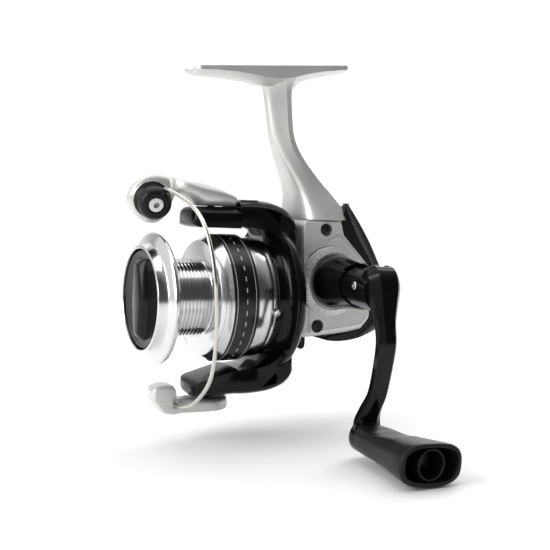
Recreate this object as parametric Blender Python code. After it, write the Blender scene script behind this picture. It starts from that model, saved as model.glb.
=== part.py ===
"""Spinning reel with front drag, folding right-hand crank and wire bail.

Frame: +X is the handle side, -Y is the spool face, +Z is up towards the rod. The shapes are drawn in
the mechanism frame, whose origin lies on the spool axis at the front of the flange, and one empty
moves the whole reel so that the middle of the foot saddle comes to the world origin.
Lengths are millimetres and are turned into metres as each mesh is made.
"""

import math

import bmesh
import bpy
from mathutils import Matrix, Vector

for item in list(bpy.data.objects):
    bpy.data.objects.remove(item, do_unlink=True)

MM = 0.001
GAP = 0.3
SMOOTH_LIMIT = math.radians(34)

# foot and stem
FOOT_TOE_Y = 11.9
FOOT_LENGTH = 57.6
FOOT_WIDTH = 13.4
FOOT_TILT = math.radians(4.33)
FOOT_RIM_Z = 78.9
SADDLE_DEPTH = 1.5
SADDLE_FLAT = 3.0
SADDLE_Y = FOOT_TOE_Y + FOOT_LENGTH / 2

# crank axis, parallel to X
CRANK_Y = 60.0
CRANK_Z = 6.3
CRANK_RADIUS = 47.4
CRANK_ANGLE = math.radians(-3.3)

# spool
FLANGE_R = 22.0
RIM_R = 17.6
KNOB_HOLE_R = 16.7
ARBOR_R = 13.1
ARBOR_FRONT = 2.6
ARBOR_REAR = 16.6
SKIRT_R = 21.6
SKIRT_REAR_R = 20.1
SKIRT_END = 37.5
MAIN_SHAFT_R = 1.75

# rotor
CUP_R = 18.3
CUP_FRONT = 23.0
BOWL_R = 26.0
BOWL_FRONT = 41.4
ROTOR_REAR = 47.4
ARM_OUT = 33.3
ARM_SEAT = 30.9
ARM_LOW = 33.4
ARM_FRONT = 11.6
BAIL_PIVOT_Y = 20.5
BAIL_SEAT_R = 7.3

# housing
HOUSE_FRONT = 49.2
HOUSE_HALF = 12.4
COVER_THICK = 1.6
COVER_X = HOUSE_HALF + GAP
BEZEL_X = COVER_X + COVER_THICK + GAP
BEZEL_R = 12.0
NOSE_R = 13.3
NOSE_FRONT = 36.0
CAVITY_R = 12.2

# gears
PINION_TEETH = 8
RATIO = 5
PINION_PITCH_R = 3.0
PINION_TIP_R = 3.55
PINION_ROOT_R = 2.6
HELIX = math.radians(45)
MESH_Y = RATIO * PINION_PITCH_R - CRANK_Z * math.tan(HELIX)
FACE_TIP_X = -2.85
FACE_ROOT_X = -3.9
OSC_MODULE = 0.8
OSC_DRIVER_TEETH = 9
OSC_TEETH = 18
OSC_DISTANCE = OSC_MODULE * (OSC_DRIVER_TEETH + OSC_TEETH) / 2
OSC_Z = 1.3
OSC_Y = CRANK_Y + math.sqrt(OSC_DISTANCE ** 2 - (CRANK_Z - OSC_Z) ** 2)
OSC_THROW = 5.0
OSC_PIN_DY = 4.5
OSC_PIN_DZ = -math.sqrt(OSC_THROW ** 2 - OSC_PIN_DY ** 2)
SLIDER_Y = OSC_Y + OSC_PIN_DY
SLIDER_HALF = 2.2
STROKE_BACK = 0.5
SLIDER_ROOM_END = SLIDER_Y + SLIDER_HALF + STROKE_BACK + GAP

# crank
FOLD_X = 40.5
FOLD_Z = 0.8
COLLAR_BASE_X = 17.4
COLLAR_R = 9.2
KNOB_FRONT_X = 47.4
KNOB_END_X = 80.5
KNOB_HALF_W = 11.0
KNOB_HALF_H = 6.7


# ---------------------------------------------------------------- helpers
def material(name, colour, metallic, roughness):
    made = bpy.data.materials.new(name)
    made.use_nodes = True
    shader = made.node_tree.nodes["Principled BSDF"]
    shader.inputs["Base Color"].default_value = (*colour, 1.0)
    shader.inputs["Metallic"].default_value = metallic
    shader.inputs["Roughness"].default_value = roughness
    made.diffuse_color = (*colour, 1.0)
    return made


LOOKS = {
    "silver_paint": ((0.62, 0.63, 0.61), 0.3, 0.35),
    "gloss_black": ((0.012, 0.012, 0.014), 0.0, 0.15),
    "satin_black": ((0.03, 0.03, 0.032), 0.0, 0.45),
    "dark_grey": ((0.09, 0.095, 0.1), 0.0, 0.4),
    "turned_aluminium": ((0.82, 0.82, 0.83), 1.0, 0.22),
    "steel": ((0.6, 0.6, 0.61), 1.0, 0.28),
    "black_screw": ((0.04, 0.04, 0.045), 0.7, 0.4),
    "brass": ((0.72, 0.55, 0.25), 1.0, 0.3),
    "zinc": ((0.52, 0.53, 0.54), 1.0, 0.45),
    "nylon": ((0.75, 0.74, 0.7), 0.0, 0.5),
    "felt": ((0.35, 0.33, 0.3), 0.0, 0.95),
}


def vec(*parts):
    return Vector(parts)


def ring(radius, at, count, turn=0.0):
    """A circle about Y at the given height along Y."""
    step = 2 * math.pi / count
    return [
        vec(radius * math.cos(turn + step * i), at, radius * math.sin(turn + step * i))
        for i in range(count)
    ]


def loft(rings, closed=False):
    """Skin a row of loops that have the same number of points; the ends are capped."""
    mesh = bmesh.new()
    rows = [[mesh.verts.new(point) for point in loop] for loop in rings]
    pairs = list(zip(rows, rows[1:]))
    if closed:
        pairs.append((rows[-1], rows[0]))
    for low, high in pairs:
        for i in range(len(low)):
            j = (i + 1) % len(low)
            mesh.faces.new((low[i], low[j], high[j], high[i]))
    if not closed:
        mesh.faces.new(rows[0])
        mesh.faces.new(rows[-1])
    return mesh


def lathe(profile, count=32, turn=0.0):
    """Turn a profile of (radius, y) about Y. A profile off the axis is a closed loop."""
    mesh = bmesh.new()
    rows = []
    for radius, at in profile:
        if radius < 1e-6:
            rows.append([mesh.verts.new(vec(0, at, 0))])
        else:
            rows.append([mesh.verts.new(point) for point in ring(radius, at, count, turn)])
    for low, high in zip(rows, rows[1:] + rows[:1]):
        if len(low) == 1 and len(high) == 1:
            continue
        for i in range(count):
            j = (i + 1) % count
            if len(low) == 1:
                mesh.faces.new((low[0], high[j], high[i]))
            elif len(high) == 1:
                mesh.faces.new((low[i], low[j], high[0]))
            else:
                mesh.faces.new((low[i], low[j], high[j], high[i]))
    return mesh


def rod(radius, start, end, count=24, turn=0.0):
    return lathe([(0, start), (radius, start), (radius, end), (0, end)], count, turn)


def pipe(inner, outer, start, end, count=20):
    return lathe([(inner, start), (outer, start), (outer, end), (inner, end)], count)


def chamfered_rod(radius, start, end, chamfer, count=24):
    profile = [(0, start), (radius - chamfer, start), (radius, start + chamfer)]
    profile += [(radius, end - chamfer), (radius - chamfer, end), (0, end)]
    return lathe(profile, count)


def prism(outline, start, end, axis="X"):
    """Extrude an outline along an axis. The outline holds (y, z) for X, (x, z) for Y, (x, y) for Z."""
    places = {
        "X": lambda a, b, t: vec(t, a, b),
        "Y": lambda a, b, t: vec(a, t, b),
        "Z": lambda a, b, t: vec(a, b, t),
    }
    place = places[axis]
    return loft([[place(a, b, t) for a, b in outline] for t in (start, end)])


def box(x0, x1, y0, y1, z0, z1):
    return prism([(x0, y0), (x1, y0), (x1, y1), (x0, y1)], z0, z1, "Z")


def sweep(path, radius, count=10):
    """A round bar along a path of points; radius is a number or one number for each point."""
    path = [Vector(point) for point in path]
    radii = radius if isinstance(radius, list) else [radius] * len(path)
    tangents = []
    for i in range(len(path)):
        ahead = path[min(i + 1, len(path) - 1)]
        behind = path[max(i - 1, 0)]
        tangents.append((ahead - behind).normalized())
    side = tangents[0].orthogonal().normalized()
    rings = []
    for point, tangent, size in zip(path, tangents, radii):
        side = (side - tangent * side.dot(tangent)).normalized()
        other = tangent.cross(side)
        step = 2 * math.pi / count
        rings.append([
            point + size * (math.cos(step * i) * side + math.sin(step * i) * other)
            for i in range(count)
        ])
    return loft(rings)


def spline(points, parts):
    """Points of a Catmull-Rom curve through the given points."""
    points = [Vector(point) for point in points]
    ends = [2 * points[0] - points[1]] + points + [2 * points[-1] - points[-2]]
    out = []
    for a, b, c, d in zip(ends, ends[1:], ends[2:], ends[3:]):
        for i in range(parts):
            t = i / parts
            out.append(0.5 * (2 * b + (c - a) * t + (2 * a - 5 * b + 4 * c - d) * t ** 2
                              + (3 * b - a - 3 * c + d) * t ** 3))
    out.append(points[-1])
    return out


def oval(half_a, half_b, count, power=2.0):
    """Points of a superellipse; power 2 is an ellipse and larger is squarer."""
    out = []
    for i in range(count):
        angle = 2 * math.pi * (i + 0.5) / count
        a = math.copysign(abs(math.cos(angle)) ** (2 / power), math.cos(angle))
        b = math.copysign(abs(math.sin(angle)) ** (2 / power), math.sin(angle))
        out.append((half_a * a, half_b * b))
    return out


def moved(mesh, x=0.0, y=0.0, z=0.0):
    bmesh.ops.translate(mesh, verts=mesh.verts, vec=(x, y, z))
    return mesh


def turned(mesh, angle, axis):
    bmesh.ops.rotate(mesh, verts=mesh.verts, matrix=Matrix.Rotation(angle, 3, axis))
    return mesh


def along_x(mesh):
    """Turn a shape drawn about Y so that it lies about X, with +Y becoming +X."""
    return turned(mesh, -math.pi / 2, "Z")


def along_z(mesh):
    """Turn a shape drawn about Y so that it lies about Z, with +Y becoming +Z."""
    return turned(mesh, math.pi / 2, "X")


def frame(name, parent, at=(0, 0, 0), turn=None):
    made = bpy.data.objects.new(name, None)
    bpy.context.scene.collection.objects.link(made)
    made.empty_display_size = 0.005
    made.parent = parent
    made.location = Vector(at) * MM
    if turn:
        made.rotation_euler = turn
    return made


def solid(name, mesh, look, parent, at=(0, 0, 0), turn=None):
    """Make a node from a mesh drawn in millimetres."""
    bmesh.ops.recalc_face_normals(mesh, faces=mesh.faces)
    bmesh.ops.scale(mesh, vec=(MM, MM, MM), verts=mesh.verts)
    for face in mesh.faces:
        face.smooth = True
    for edge in mesh.edges:
        if len(edge.link_faces) == 2 and edge.calc_face_angle(0) > SMOOTH_LIMIT:
            edge.smooth = False
    data = bpy.data.meshes.new(name)
    mesh.to_mesh(data)
    mesh.free()
    made = bpy.data.objects.new(name, data)
    bpy.context.scene.collection.objects.link(made)
    made.parent = parent
    made.location = Vector(at) * MM
    if turn:
        made.rotation_euler = turn
    if look:
        data.materials.append(SLOTS[look])
    return made


def modify(target, mesh, operation="DIFFERENCE"):
    """Cut a shape from a node, or join one to it. The shape is drawn in the node's own frame."""
    label = f"helper_{target.name}_{len(target.modifiers)}"
    helper = solid(label, mesh, None, target)
    helper.hide_render = True
    helper.display_type = "WIRE"
    step = target.modifiers.new(label, "BOOLEAN")
    step.operation = operation
    step.solver = "EXACT"
    step.object = helper


def cut(target, *meshes):
    for mesh in meshes:
        modify(target, mesh)


def join(target, *meshes):
    for mesh in meshes:
        modify(target, mesh, "UNION")


def cap_screw(head_r, head_h, shank_r, length, drive_r):
    """A screw about Y with its head's outer face at y = 0 and its shank towards +Y."""
    profile = [(0, drive_r), (drive_r, drive_r * 0.9), (drive_r, 0), (head_r - 0.25, 0)]
    profile += [(head_r, 0.25), (head_r, head_h), (shank_r, head_h), (shank_r, length), (0, length)]
    return lathe(profile, 10)


SLOTS = {name: material(name, *look) for name, look in LOOKS.items()}
SADDLE_Z = FOOT_RIM_Z - SADDLE_DEPTH
REEL = frame("reel_frame", None, (0, -SADDLE_Y, -SADDLE_Z))


# ---------------------------------------------------------------- body
def stem_ring(y, z, half_x, half_y, power, lean):
    """A level section of the stem, tipped by lean so that it stays square to the stem."""
    return [
        vec(a, y + b, z - b * lean)
        for a, b in oval(half_x, half_y, 18, power)
    ]


def foot_section(s, drop, edge):
    """Cross-section of the foot at distance s from the toe; drop is its depth in the middle."""
    half = FOOT_WIDTH / 2
    top = [(half, 0), (half * 0.62, -SADDLE_DEPTH * 0.66), (SADDLE_FLAT / 2, -SADDLE_DEPTH)]
    under = [(half, -edge), (half * 0.72, -edge - (drop - edge) * 0.42)]
    under += [(half * 0.34, -edge - (drop - edge) * 0.88), (0, -drop)]
    right = top[::-1] + under
    left = [(-a, b) for a, b in reversed(right[:-1])]
    along = Vector((0, math.cos(FOOT_TILT), math.sin(FOOT_TILT)))
    up = Vector((0, -math.sin(FOOT_TILT), math.cos(FOOT_TILT)))
    middle = Vector((0, SADDLE_Y, FOOT_RIM_Z))
    shift = s - FOOT_LENGTH / 2
    return [middle + along * shift + up * b + vec(a, 0, 0) for a, b in right + left]


foot = loft([
    foot_section(0.0, 2.5, 0.7),
    foot_section(8.0, 3.4, 0.8),
    foot_section(21.0, 5.2, 1.0),
    foot_section(26.0, 7.2, 1.3),
    foot_section(35.0, 7.2, 1.3),
    foot_section(41.0, 5.0, 1.0),
    foot_section(50.0, 3.4, 0.8),
    foot_section(FOOT_LENGTH, 2.4, 0.7),
])
stem = loft([
    stem_ring(43.6, 74.5, 5.6, 6.9, 2.2, 0.0),
    stem_ring(44.4, 70.2, 5.2, 5.4, 2.2, 0.1),
    stem_ring(45.0, 64.0, 5.0, 4.7, 2.2, 0.15),
    stem_ring(46.0, 57.5, 5.0, 4.6, 2.2, 0.25),
    stem_ring(48.2, 52.0, 5.2, 5.0, 2.3, 0.4),
    stem_ring(51.6, 46.5, 5.9, 6.0, 2.4, 0.4),
    stem_ring(55.4, 41.5, 6.9, 6.8, 2.6, 0.3),
    stem_ring(58.6, 36.5, 8.6, 7.6, 2.9, 0.15),
    stem_ring(60.0, 31.5, 10.6, 8.4, 3.2, 0.0),
    stem_ring(59.9, 25.5, HOUSE_HALF - 0.3, 8.9, 4.0, 0.0),
    stem_ring(59.9, 16.0, HOUSE_HALF - 0.3, 8.8, 4.0, 0.0),
])
HOUSE_OUTLINE = [
    (HOUSE_FRONT, 25.0), (HOUSE_FRONT + 1.4, 27.0), (67.4, 27.4), (71.0, 23.5), (76.5, 16.5),
    (79.4, 9.0), (79.6, -5.0), (77.0, -9.8), (72.0, -11.6), (HOUSE_FRONT + 1.4, -13.2),
    (HOUSE_FRONT, -11.5),
]


def inset(outline, middle, amount):
    """Pull an outline towards a middle point by a length."""
    out = []
    for a, b in outline:
        reach = math.hypot(a - middle[0], b - middle[1])
        scale = (reach - amount) / reach
        out.append((middle[0] + (a - middle[0]) * scale, middle[1] + (b - middle[1]) * scale))
    return out


HOUSE_MIDDLE = (64.0, 6.0)
housing = loft([
    [vec(x, a, b) for a, b in inset(HOUSE_OUTLINE, HOUSE_MIDDLE, by)]
    for x, by in ((-HOUSE_HALF - 0.8, 4.6), (-HOUSE_HALF + 0.6, 1.4), (-HOUSE_HALF + 3.2, 0.0),
                  (HOUSE_HALF, 0.0))
])
body = solid("body_frame", housing, "silver_paint", REEL)
nose = lathe([(0, NOSE_FRONT), (NOSE_R, NOSE_FRONT), (NOSE_R, HOUSE_FRONT - 0.1),
              (NOSE_R - 1.4, HOUSE_FRONT + 1.0), (0, HOUSE_FRONT + 1.0)], 28)
crank_boss = moved(along_x(rod(8.4, -14.6, -8.0, 24)), y=CRANK_Y, z=CRANK_Z)
join(body, foot, stem, nose, crank_boss)
gear_room = moved(along_x(rod(CAVITY_R, -6.0, HOUSE_HALF + 2, 32)), y=CRANK_Y, z=CRANK_Z)
hub_room = moved(along_x(rod(8.6, -8.8, -5.0, 28)), y=CRANK_Y, z=CRANK_Z)
osc_room = moved(along_x(rod(8.5, -8.8, HOUSE_HALF + 2, 24)), y=OSC_Y - 0.2, z=OSC_Z)
slider_room = box(-6.0, HOUSE_HALF + 2, 56.0, SLIDER_ROOM_END, -7.2, 9.0)
shaft_room = rod(3.0, 76.0, 78.3, 16)
nose_bores = lathe([(0, NOSE_FRONT - 2), (11.9, NOSE_FRONT - 2), (11.9, 41.6), (6.9, 41.6),
                    (6.9, 44.8), (4.2, 44.8), (4.2, 57.0), (0, 57.0)], 32)
left_bore = moved(along_x(lathe([(0, -16.0), (3.4, -16.0), (3.4, -12.6), (5.4, -12.6), (5.4, -8.0),
                                 (0, -8.0)], 24)), y=CRANK_Y, z=CRANK_Z)
cut(body, gear_room, hub_room, osc_room, slider_room, shaft_room, nose_bores, left_bore)

COVER_SCREWS = {
    "cover_screw_top": (57.9, 24.0),
    "cover_screw_low": (55.3, -9.2),
    "cover_screw_rear": (73.4, 10.2),
}
SCREW_HEAD_R = 1.9
SCREW_SHANK_R = 0.8
COVER_OUTLINE = [
    (HOUSE_FRONT + 0.6, 26.7), (63.8, 26.9), (65.2, 21.8), (76.3, 10.7), (76.5, -7.0),
    (73.5, -10.4), (HOUSE_FRONT + 0.6, -12.9),
]
cover = solid("side_cover", loft([
    [vec(COVER_X, a, b) for a, b in COVER_OUTLINE],
    [vec(COVER_X + COVER_THICK - 0.6, a, b) for a, b in COVER_OUTLINE],
    [vec(COVER_X + COVER_THICK, a, b) for a, b in inset(COVER_OUTLINE, HOUSE_MIDDLE, 0.7)],
]), "silver_paint", REEL)
bearing_cup = moved(along_x(rod(7.0, 9.2, COVER_X + 0.8, 28)), y=CRANK_Y, z=CRANK_Z)
join(cover, bearing_cup)
bearing_bore = lathe([(0, 8.0), (5.9, 8.0), (5.9, 12.5), (4.2, 12.5), (4.2, 18.0), (0, 18.0)], 24)
cut(cover, moved(along_x(bearing_bore), y=CRANK_Y, z=CRANK_Z))
for screw_name, (at_y, at_z) in COVER_SCREWS.items():
    head_room = lathe([(0, 10.0), (1.05, 10.0), (1.05, COVER_X + 0.5), (SCREW_HEAD_R + 0.25,
                      COVER_X + 0.5), (SCREW_HEAD_R + 0.25, 17.0), (0, 17.0)], 16)
    cut(cover, moved(along_x(head_room), y=at_y, z=at_z))
    cut(body, moved(along_x(rod(1.05, 6.0, 15.0, 12)), y=at_y, z=at_z))
    screw = cap_screw(SCREW_HEAD_R, 1.2 - GAP, SCREW_SHANK_R, 6.5, 0.9)
    solid(screw_name, turned(screw, math.pi / 2, "Z"), "black_screw", REEL,
          (COVER_X + COVER_THICK - 0.1, at_y, at_z))

bezel = lathe([(COLLAR_R - 4.4, BEZEL_X), (BEZEL_R, BEZEL_X), (BEZEL_R, BEZEL_X + 0.5),
               (BEZEL_R - 2.3, BEZEL_X + 2.2), (COLLAR_R - 4.4, BEZEL_X + 2.2)], 40)
solid("bearing_bezel", moved(along_x(bezel), y=CRANK_Y, z=CRANK_Z), "silver_paint", REEL)

REAR_OUTLINE = [
    (67.2, 35.4), (71.5, 32.0), (76.0, 27.6), (80.3, 21.5), (84.2, 14.0), (87.0, 6.0), (87.4, -2.0),
    (85.6, -8.4), (81.0, -12.6), (74.0, -14.8), (65.5, -15.3), (59.5, -14.4),
]
REAR_INNER = [
    (59.5, -12.95), (72.3, -12.1), (77.3, -10.2), (79.95, -5.2), (79.75, 9.2), (76.9, 16.7),
    (71.3, 23.8), (69.3, 27.6), (69.2, 31.0),
]
REAR_MIDDLE = (68.0, 8.0)
rear_loop = REAR_OUTLINE + REAR_INNER
rear_tight = inset(REAR_OUTLINE, REAR_MIDDLE, 1.5) + inset(REAR_INNER, REAR_MIDDLE, -0.25)
rear_tight = [rear_loop[i] if i in (0, 11, 12, 20) else p for i, p in enumerate(rear_tight)]
REAR_HALF = 12.0
rear = solid("rear_cover", loft([
    [vec(-REAR_HALF, a, b) for a, b in rear_tight],
    [vec(-REAR_HALF + 2.2, a, b) for a, b in rear_loop],
    [vec(REAR_HALF - 2.2, a, b) for a, b in rear_loop],
    [vec(REAR_HALF, a, b) for a, b in rear_tight],
]), "dark_grey", REEL)
REAR_SCREW_Z = -1.0
screw_room = [(0, 81.0 - 8), (1.05, 81.0 - 8), (1.05, 84.4), (2.3, 84.4), (2.3, 90.0), (0, 90.0)]
cut(rear, moved(lathe(screw_room, 14), z=REAR_SCREW_Z))
cut(body, moved(rod(1.05, 78.2, 82.0, 12), z=REAR_SCREW_Z))
rear_screw = turned(cap_screw(1.95, 1.2, SCREW_SHANK_R, 7.4, 0.9), math.pi, "Z")
solid("rear_cover_screw", rear_screw, "black_screw", REEL, (0, 86.2, REAR_SCREW_Z))

clutch = pipe(8.0, 11.6, NOSE_FRONT + 1.4, 41.3, 24)
solid("clutch_ring", clutch, "steel", REEL)
retainer = pipe(8.2, 13.0, NOSE_FRONT - 1.5, NOSE_FRONT - GAP, 24)
solid("front_retainer", retainer, "satin_black", REEL)
nose_ring = pipe(NOSE_R + GAP, NOSE_R + 1.1, 43.4, HOUSE_FRONT - GAP, 24)
solid("nose_ring", nose_ring, "satin_black", REEL)
solid("pinion_bearing", pipe(3.4, 6.6, 41.9, 44.5), "steel", REEL)
drive_bearing_right = pipe(3.0, 5.6, 9.6, 12.2, 24)
solid("drive_bearing_right", moved(along_x(drive_bearing_right), y=CRANK_Y, z=CRANK_Z), "steel", REEL)
drive_bearing_left = pipe(2.9, 5.1, -12.3, -9.7, 24)
solid("drive_bearing_left", moved(along_x(drive_bearing_left), y=CRANK_Y, z=CRANK_Z), "steel", REEL)

LEVER_Y = 54.2
LEVER_Z = -13.4
lever = frame("lever_pivot", REEL, (0, LEVER_Y, LEVER_Z))
lever_mesh = prism([(-3.4, 0.0), (2.6, 0.0), (2.9, -2.2), (2.4, -5.2), (0.4, -5.8), (-1.2, -3.4),
                    (-3.2, -2.4)], -2.6, 2.6, "X")
lever_node = solid("anti_reverse_lever", lever_mesh, "satin_black", lever)
join(lever_node, along_z(rod(1.1, -1.0, 3.2, 16)))
cut(body, moved(along_z(rod(1.4, -6.0, 4.0, 16)), y=LEVER_Y, z=LEVER_Z))

CAP_X = -14.6 - GAP
cap_profile = [(0, CAP_X), (7.4, CAP_X), (7.4, CAP_X - 1.6), (6.2, CAP_X - 2.8), (0, CAP_X - 3.2)]
CRANK = frame("crank_axis", REEL, (0, CRANK_Y, CRANK_Z), (CRANK_ANGLE, 0, 0))
crank_cap = solid("crank_cap", along_x(lathe(cap_profile, 28)), "gloss_black", CRANK)
join(crank_cap, along_x(rod(1.4, CAP_X - 1.0, -10.4, 16)))

# ---------------------------------------------------------------- crank collar, arm and knob
COLLAR_END_X = 38.4
COLLAR_END_R = 6.5
collar_mesh = lathe([(0, COLLAR_BASE_X), (COLLAR_R - 0.4, COLLAR_BASE_X), (COLLAR_R, COLLAR_BASE_X + 0.5),
                     (8.5, 23.5), (7.6, 30.0), (7.0, 34.0), (COLLAR_END_R, COLLAR_END_X),
                     (0, COLLAR_END_X)], 28)
collar = solid("crank_collar", along_x(collar_mesh), "gloss_black", CRANK)


def about_fold(mesh):
    """Move a shape drawn about Y so that it lies on the fold axis."""
    return moved(mesh, x=FOLD_X, z=FOLD_Z)


cut(collar, about_fold(rod(8.5, -12.0, 12.0, 32)))
elbow_room = [(-10.4, 2.2), (-9.5, 4.8), (-7.9, 7.2), (-6.0, 9.0), (-3.0, 9.5), (-3.0, 2.2)]
cut(collar, about_fold(prism(elbow_room, -5.7, 5.7, "Y")))
TONGUE_HALF = 1.8
tongue = prism([(31.0, -4.6), (FOLD_X, -4.6), (FOLD_X + 3.6, -3.0), (FOLD_X + 5.2, 0.0),
                (FOLD_X + 5.2, 1.6), (FOLD_X + 3.6, 4.6), (FOLD_X, 6.2), (31.0, 5.4)],
               -TONGUE_HALF, TONGUE_HALF, "Y")
shank = along_x(rod(1.8, 9.6, COLLAR_BASE_X + 1.0, 6))
join(collar, tongue, shank)
cut(collar, about_fold(rod(1.62, -3.0, 3.0, 16)))
solid("fold_pin", about_fold(chamfered_rod(1.6 - GAP, -7.0, 7.0, 0.3, 16)), "steel", CRANK)

FOLD = frame("fold_axis", CRANK, (FOLD_X, 0, FOLD_Z))


# The arm is drawn for this crank radius, and stretches below the fold to suit another.
DRAWN_RADIUS = 47.4


def arm_section(x, z, half_w, half_t, dx, dz):
    """A bevelled section of the crank arm across the direction (dx, dz), in the fold frame."""
    span = math.hypot(dx, dz)
    if z < 0:
        z *= CRANK_RADIUS / DRAWN_RADIUS
    nx, nz = -dz / span, dx / span
    cut_w, cut_t = half_w * 0.62, half_t * 0.45
    loop = [(-half_w, -cut_t), (-cut_w, -half_t), (cut_w, -half_t), (half_w, -cut_t),
            (half_w, cut_t), (cut_w, half_t), (-cut_w, half_t), (-half_w, cut_t)]
    return [vec(x - FOLD_X + nx * t, w, z - FOLD_Z + nz * t) for w, t in loop]


arm = solid("crank_arm", loft([
    arm_section(43.2, 7.6, 5.2, 3.4, 0.5, -1.0),
    arm_section(44.6, 4.4, 5.7, 4.5, 0.5, -1.0),
    arm_section(46.6, 0.0, 5.6, 4.4, 0.5, -1.0),
    arm_section(48.2, -4.6, 4.5, 3.4, 0.3, -1.0),
    arm_section(49.8, -10.0, 3.5, 2.7, 0.25, -1.0),
    arm_section(51.3, -15.6, 3.3, 2.6, 0.0, -1.0),
    arm_section(50.9, -22.0, 3.2, 2.5, -0.1, -1.0),
    arm_section(49.0, -32.0, 3.1, 2.4, -0.3, -1.0),
    arm_section(46.0, -37.4, 3.5, 2.4, -0.4, -1.0),
    arm_section(44.4, -41.2, 4.3, 1.9, -0.2, -1.0),
    arm_section(44.3, -43.6, 4.7, 1.9, -0.1, -1.0),
    arm_section(44.3, -47.4, 4.8, 1.9, 0.0, -1.0),
]), "gloss_black", FOLD)


def knuckle_ring(y):
    """A slice of the arm's knuckle across Y: round about the fold axis behind, flush with the collar."""
    half = math.sqrt(KNUCKLE_R ** 2 - y ** 2)
    points = []
    for i in range(9):
        z = -FOLD_Z + half * math.cos(math.pi * i / 8)
        points.append(vec(-math.sqrt(KNUCKLE_SWING ** 2 - z ** 2), y, z))
    return points + [vec(4.5, y, -FOLD_Z - half), vec(4.5, y, -FOLD_Z + half)]


KNUCKLE_R = 6.9
KNUCKLE_SWING = 8.2
hub_block = loft([knuckle_ring(y) for y in (-6.7, -6.1, -5.0, -3.0, 0.0, 3.0, 5.0, 6.1, 6.7)])
BOSS_X = 42.0
boss = moved(along_x(chamfered_rod(5.3, BOSS_X, 46.4, 0.8, 24)), x=-FOLD_X, z=-CRANK_RADIUS - FOLD_Z)
join(arm, hub_block, boss)
slot_half = TONGUE_HALF + GAP
cut(arm, rod(1.62, -9.0, 9.0, 18))
cut(arm, prism([(-14.0, -6.0), (0.0, -6.0), (4.3, -4.3), (5.85, 0.0), (5.85, 12.0), (-14.0, 12.0)],
               -slot_half, slot_half, "Y"))

KNOB = frame("knob_axis", FOLD, (-FOLD_X, 0, -CRANK_RADIUS - FOLD_Z))
axle = along_x(lathe([(0, 44.0), (1.9, 44.0), (1.9, 73.0), (0, 73.0)], 18))
solid("knob_shaft", moved(axle, x=-FOLD_X, z=-CRANK_RADIUS - FOLD_Z), "steel", FOLD)
cut(arm, moved(along_x(rod(1.92, 43.0, 48.0, 18)), x=-FOLD_X, z=-CRANK_RADIUS - FOLD_Z))
KNOB_ROOT_X = 46.4 + GAP + 0.1
knob_rings = []
for x, half_w, half_h, power in ((KNOB_ROOT_X, 5.6, 3.9, 2.3), (47.6, 6.8, 4.7, 2.4),
                                 (53.0, 7.4, 4.9, 2.5), (60.0, 8.1, 5.0, 2.6),
                                 (67.0, 9.0, 5.4, 2.7), (74.0, 10.2, 6.1, 2.8),
                                 (KNOB_END_X - 0.8, KNOB_HALF_W, KNOB_HALF_H, 2.9),
                                 (KNOB_END_X, KNOB_HALF_W - 0.6, KNOB_HALF_H - 0.6, 2.9)):
    knob_rings.append([vec(x, a, b) for a, b in oval(half_w, half_h, 24, power)])
knob = solid("handle_knob", loft(knob_rings), "satin_black", KNOB)
TUBE_R = 4.7
pocket_rings = [[vec(x, a, b) for a, b in oval(w, h, 24, 2.9)]
                for x, w, h in ((71.0, KNOB_HALF_W - 3.2, KNOB_HALF_H - 2.4),
                                (KNOB_END_X + 1.0, KNOB_HALF_W - 1.5, KNOB_HALF_H - 1.3))]
cut(knob, loft(pocket_rings))
join(knob, along_x(rod(TUBE_R, 69.0, KNOB_END_X - 0.4, 24)))
cut(knob, along_x(lathe([(0, 44.0), (2.2, 44.0), (2.2, 71.0), (3.5, 71.0), (3.5, 82.0), (0, 82.0)], 20)))
knob_cap = along_x(lathe([(0, 75.2), (2.9, 75.2), (3.2, 74.8), (3.2, 73.4), (0, 73.4)], 18))
solid("knob_cap", knob_cap, "satin_black", KNOB)

# ---------------------------------------------------------------- gears
def spur_loop(teeth, module, width_share, turn):
    """Outline of a spur gear with straight-sided teeth, as (a, b) points."""
    pitch_r = teeth * module / 2
    out = []
    for tooth in range(teeth):
        middle = turn + 2 * math.pi * tooth / teeth
        half = math.pi / teeth / 2 * width_share
        for radius, share in ((pitch_r - module, -1.45), (pitch_r + module * 0.8, -0.5),
                              (pitch_r + module * 0.8, 0.5), (pitch_r - module, 1.45)):
            angle = middle + half * share
            out.append((radius * math.cos(angle), radius * math.sin(angle)))
    return out


def helical_pinion(start, end, bore, steps, turn):
    """The pinion's toothed part about Y, hollow, with straight-flanked helical teeth."""
    lead = math.tan(HELIX) / PINION_PITCH_R
    rings = []
    for k in range(steps + 1):
        at = start + (end - start) * k / steps
        twist = turn - lead * (at - MESH_LINE_Y)
        loop = []
        for tooth in range(PINION_TEETH):
            middle = twist + 2 * math.pi * tooth / PINION_TEETH
            half = math.pi / PINION_TEETH
            for radius, share in ((PINION_ROOT_R, -0.62), (PINION_TIP_R, -0.2),
                                  (PINION_TIP_R, 0.2), (PINION_ROOT_R, 0.62)):
                angle = middle + half * share
                loop.append(vec(radius * math.cos(angle), at, radius * math.sin(angle)))
        rings.append(loop)
    return loft(rings)


MESH_LINE_Y = CRANK_Y - MESH_Y
PINION_START = MESH_LINE_Y - 4.6
PINION_END = MESH_LINE_Y + 2.4
PINION_TURN = math.pi + math.pi / PINION_TEETH
ROTOR = frame("rotor_axis", REEL)
pinion_mesh = helical_pinion(PINION_START, PINION_END, 2.05, 6, PINION_TURN)
pinion = solid("pinion_gear", pinion_mesh, "brass", ROTOR)
join(pinion, rod(2.85, 19.6, PINION_START + 0.4, 24))
cut(pinion, rod(MAIN_SHAFT_R + GAP, 18.0, PINION_END + 1, 20))

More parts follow.
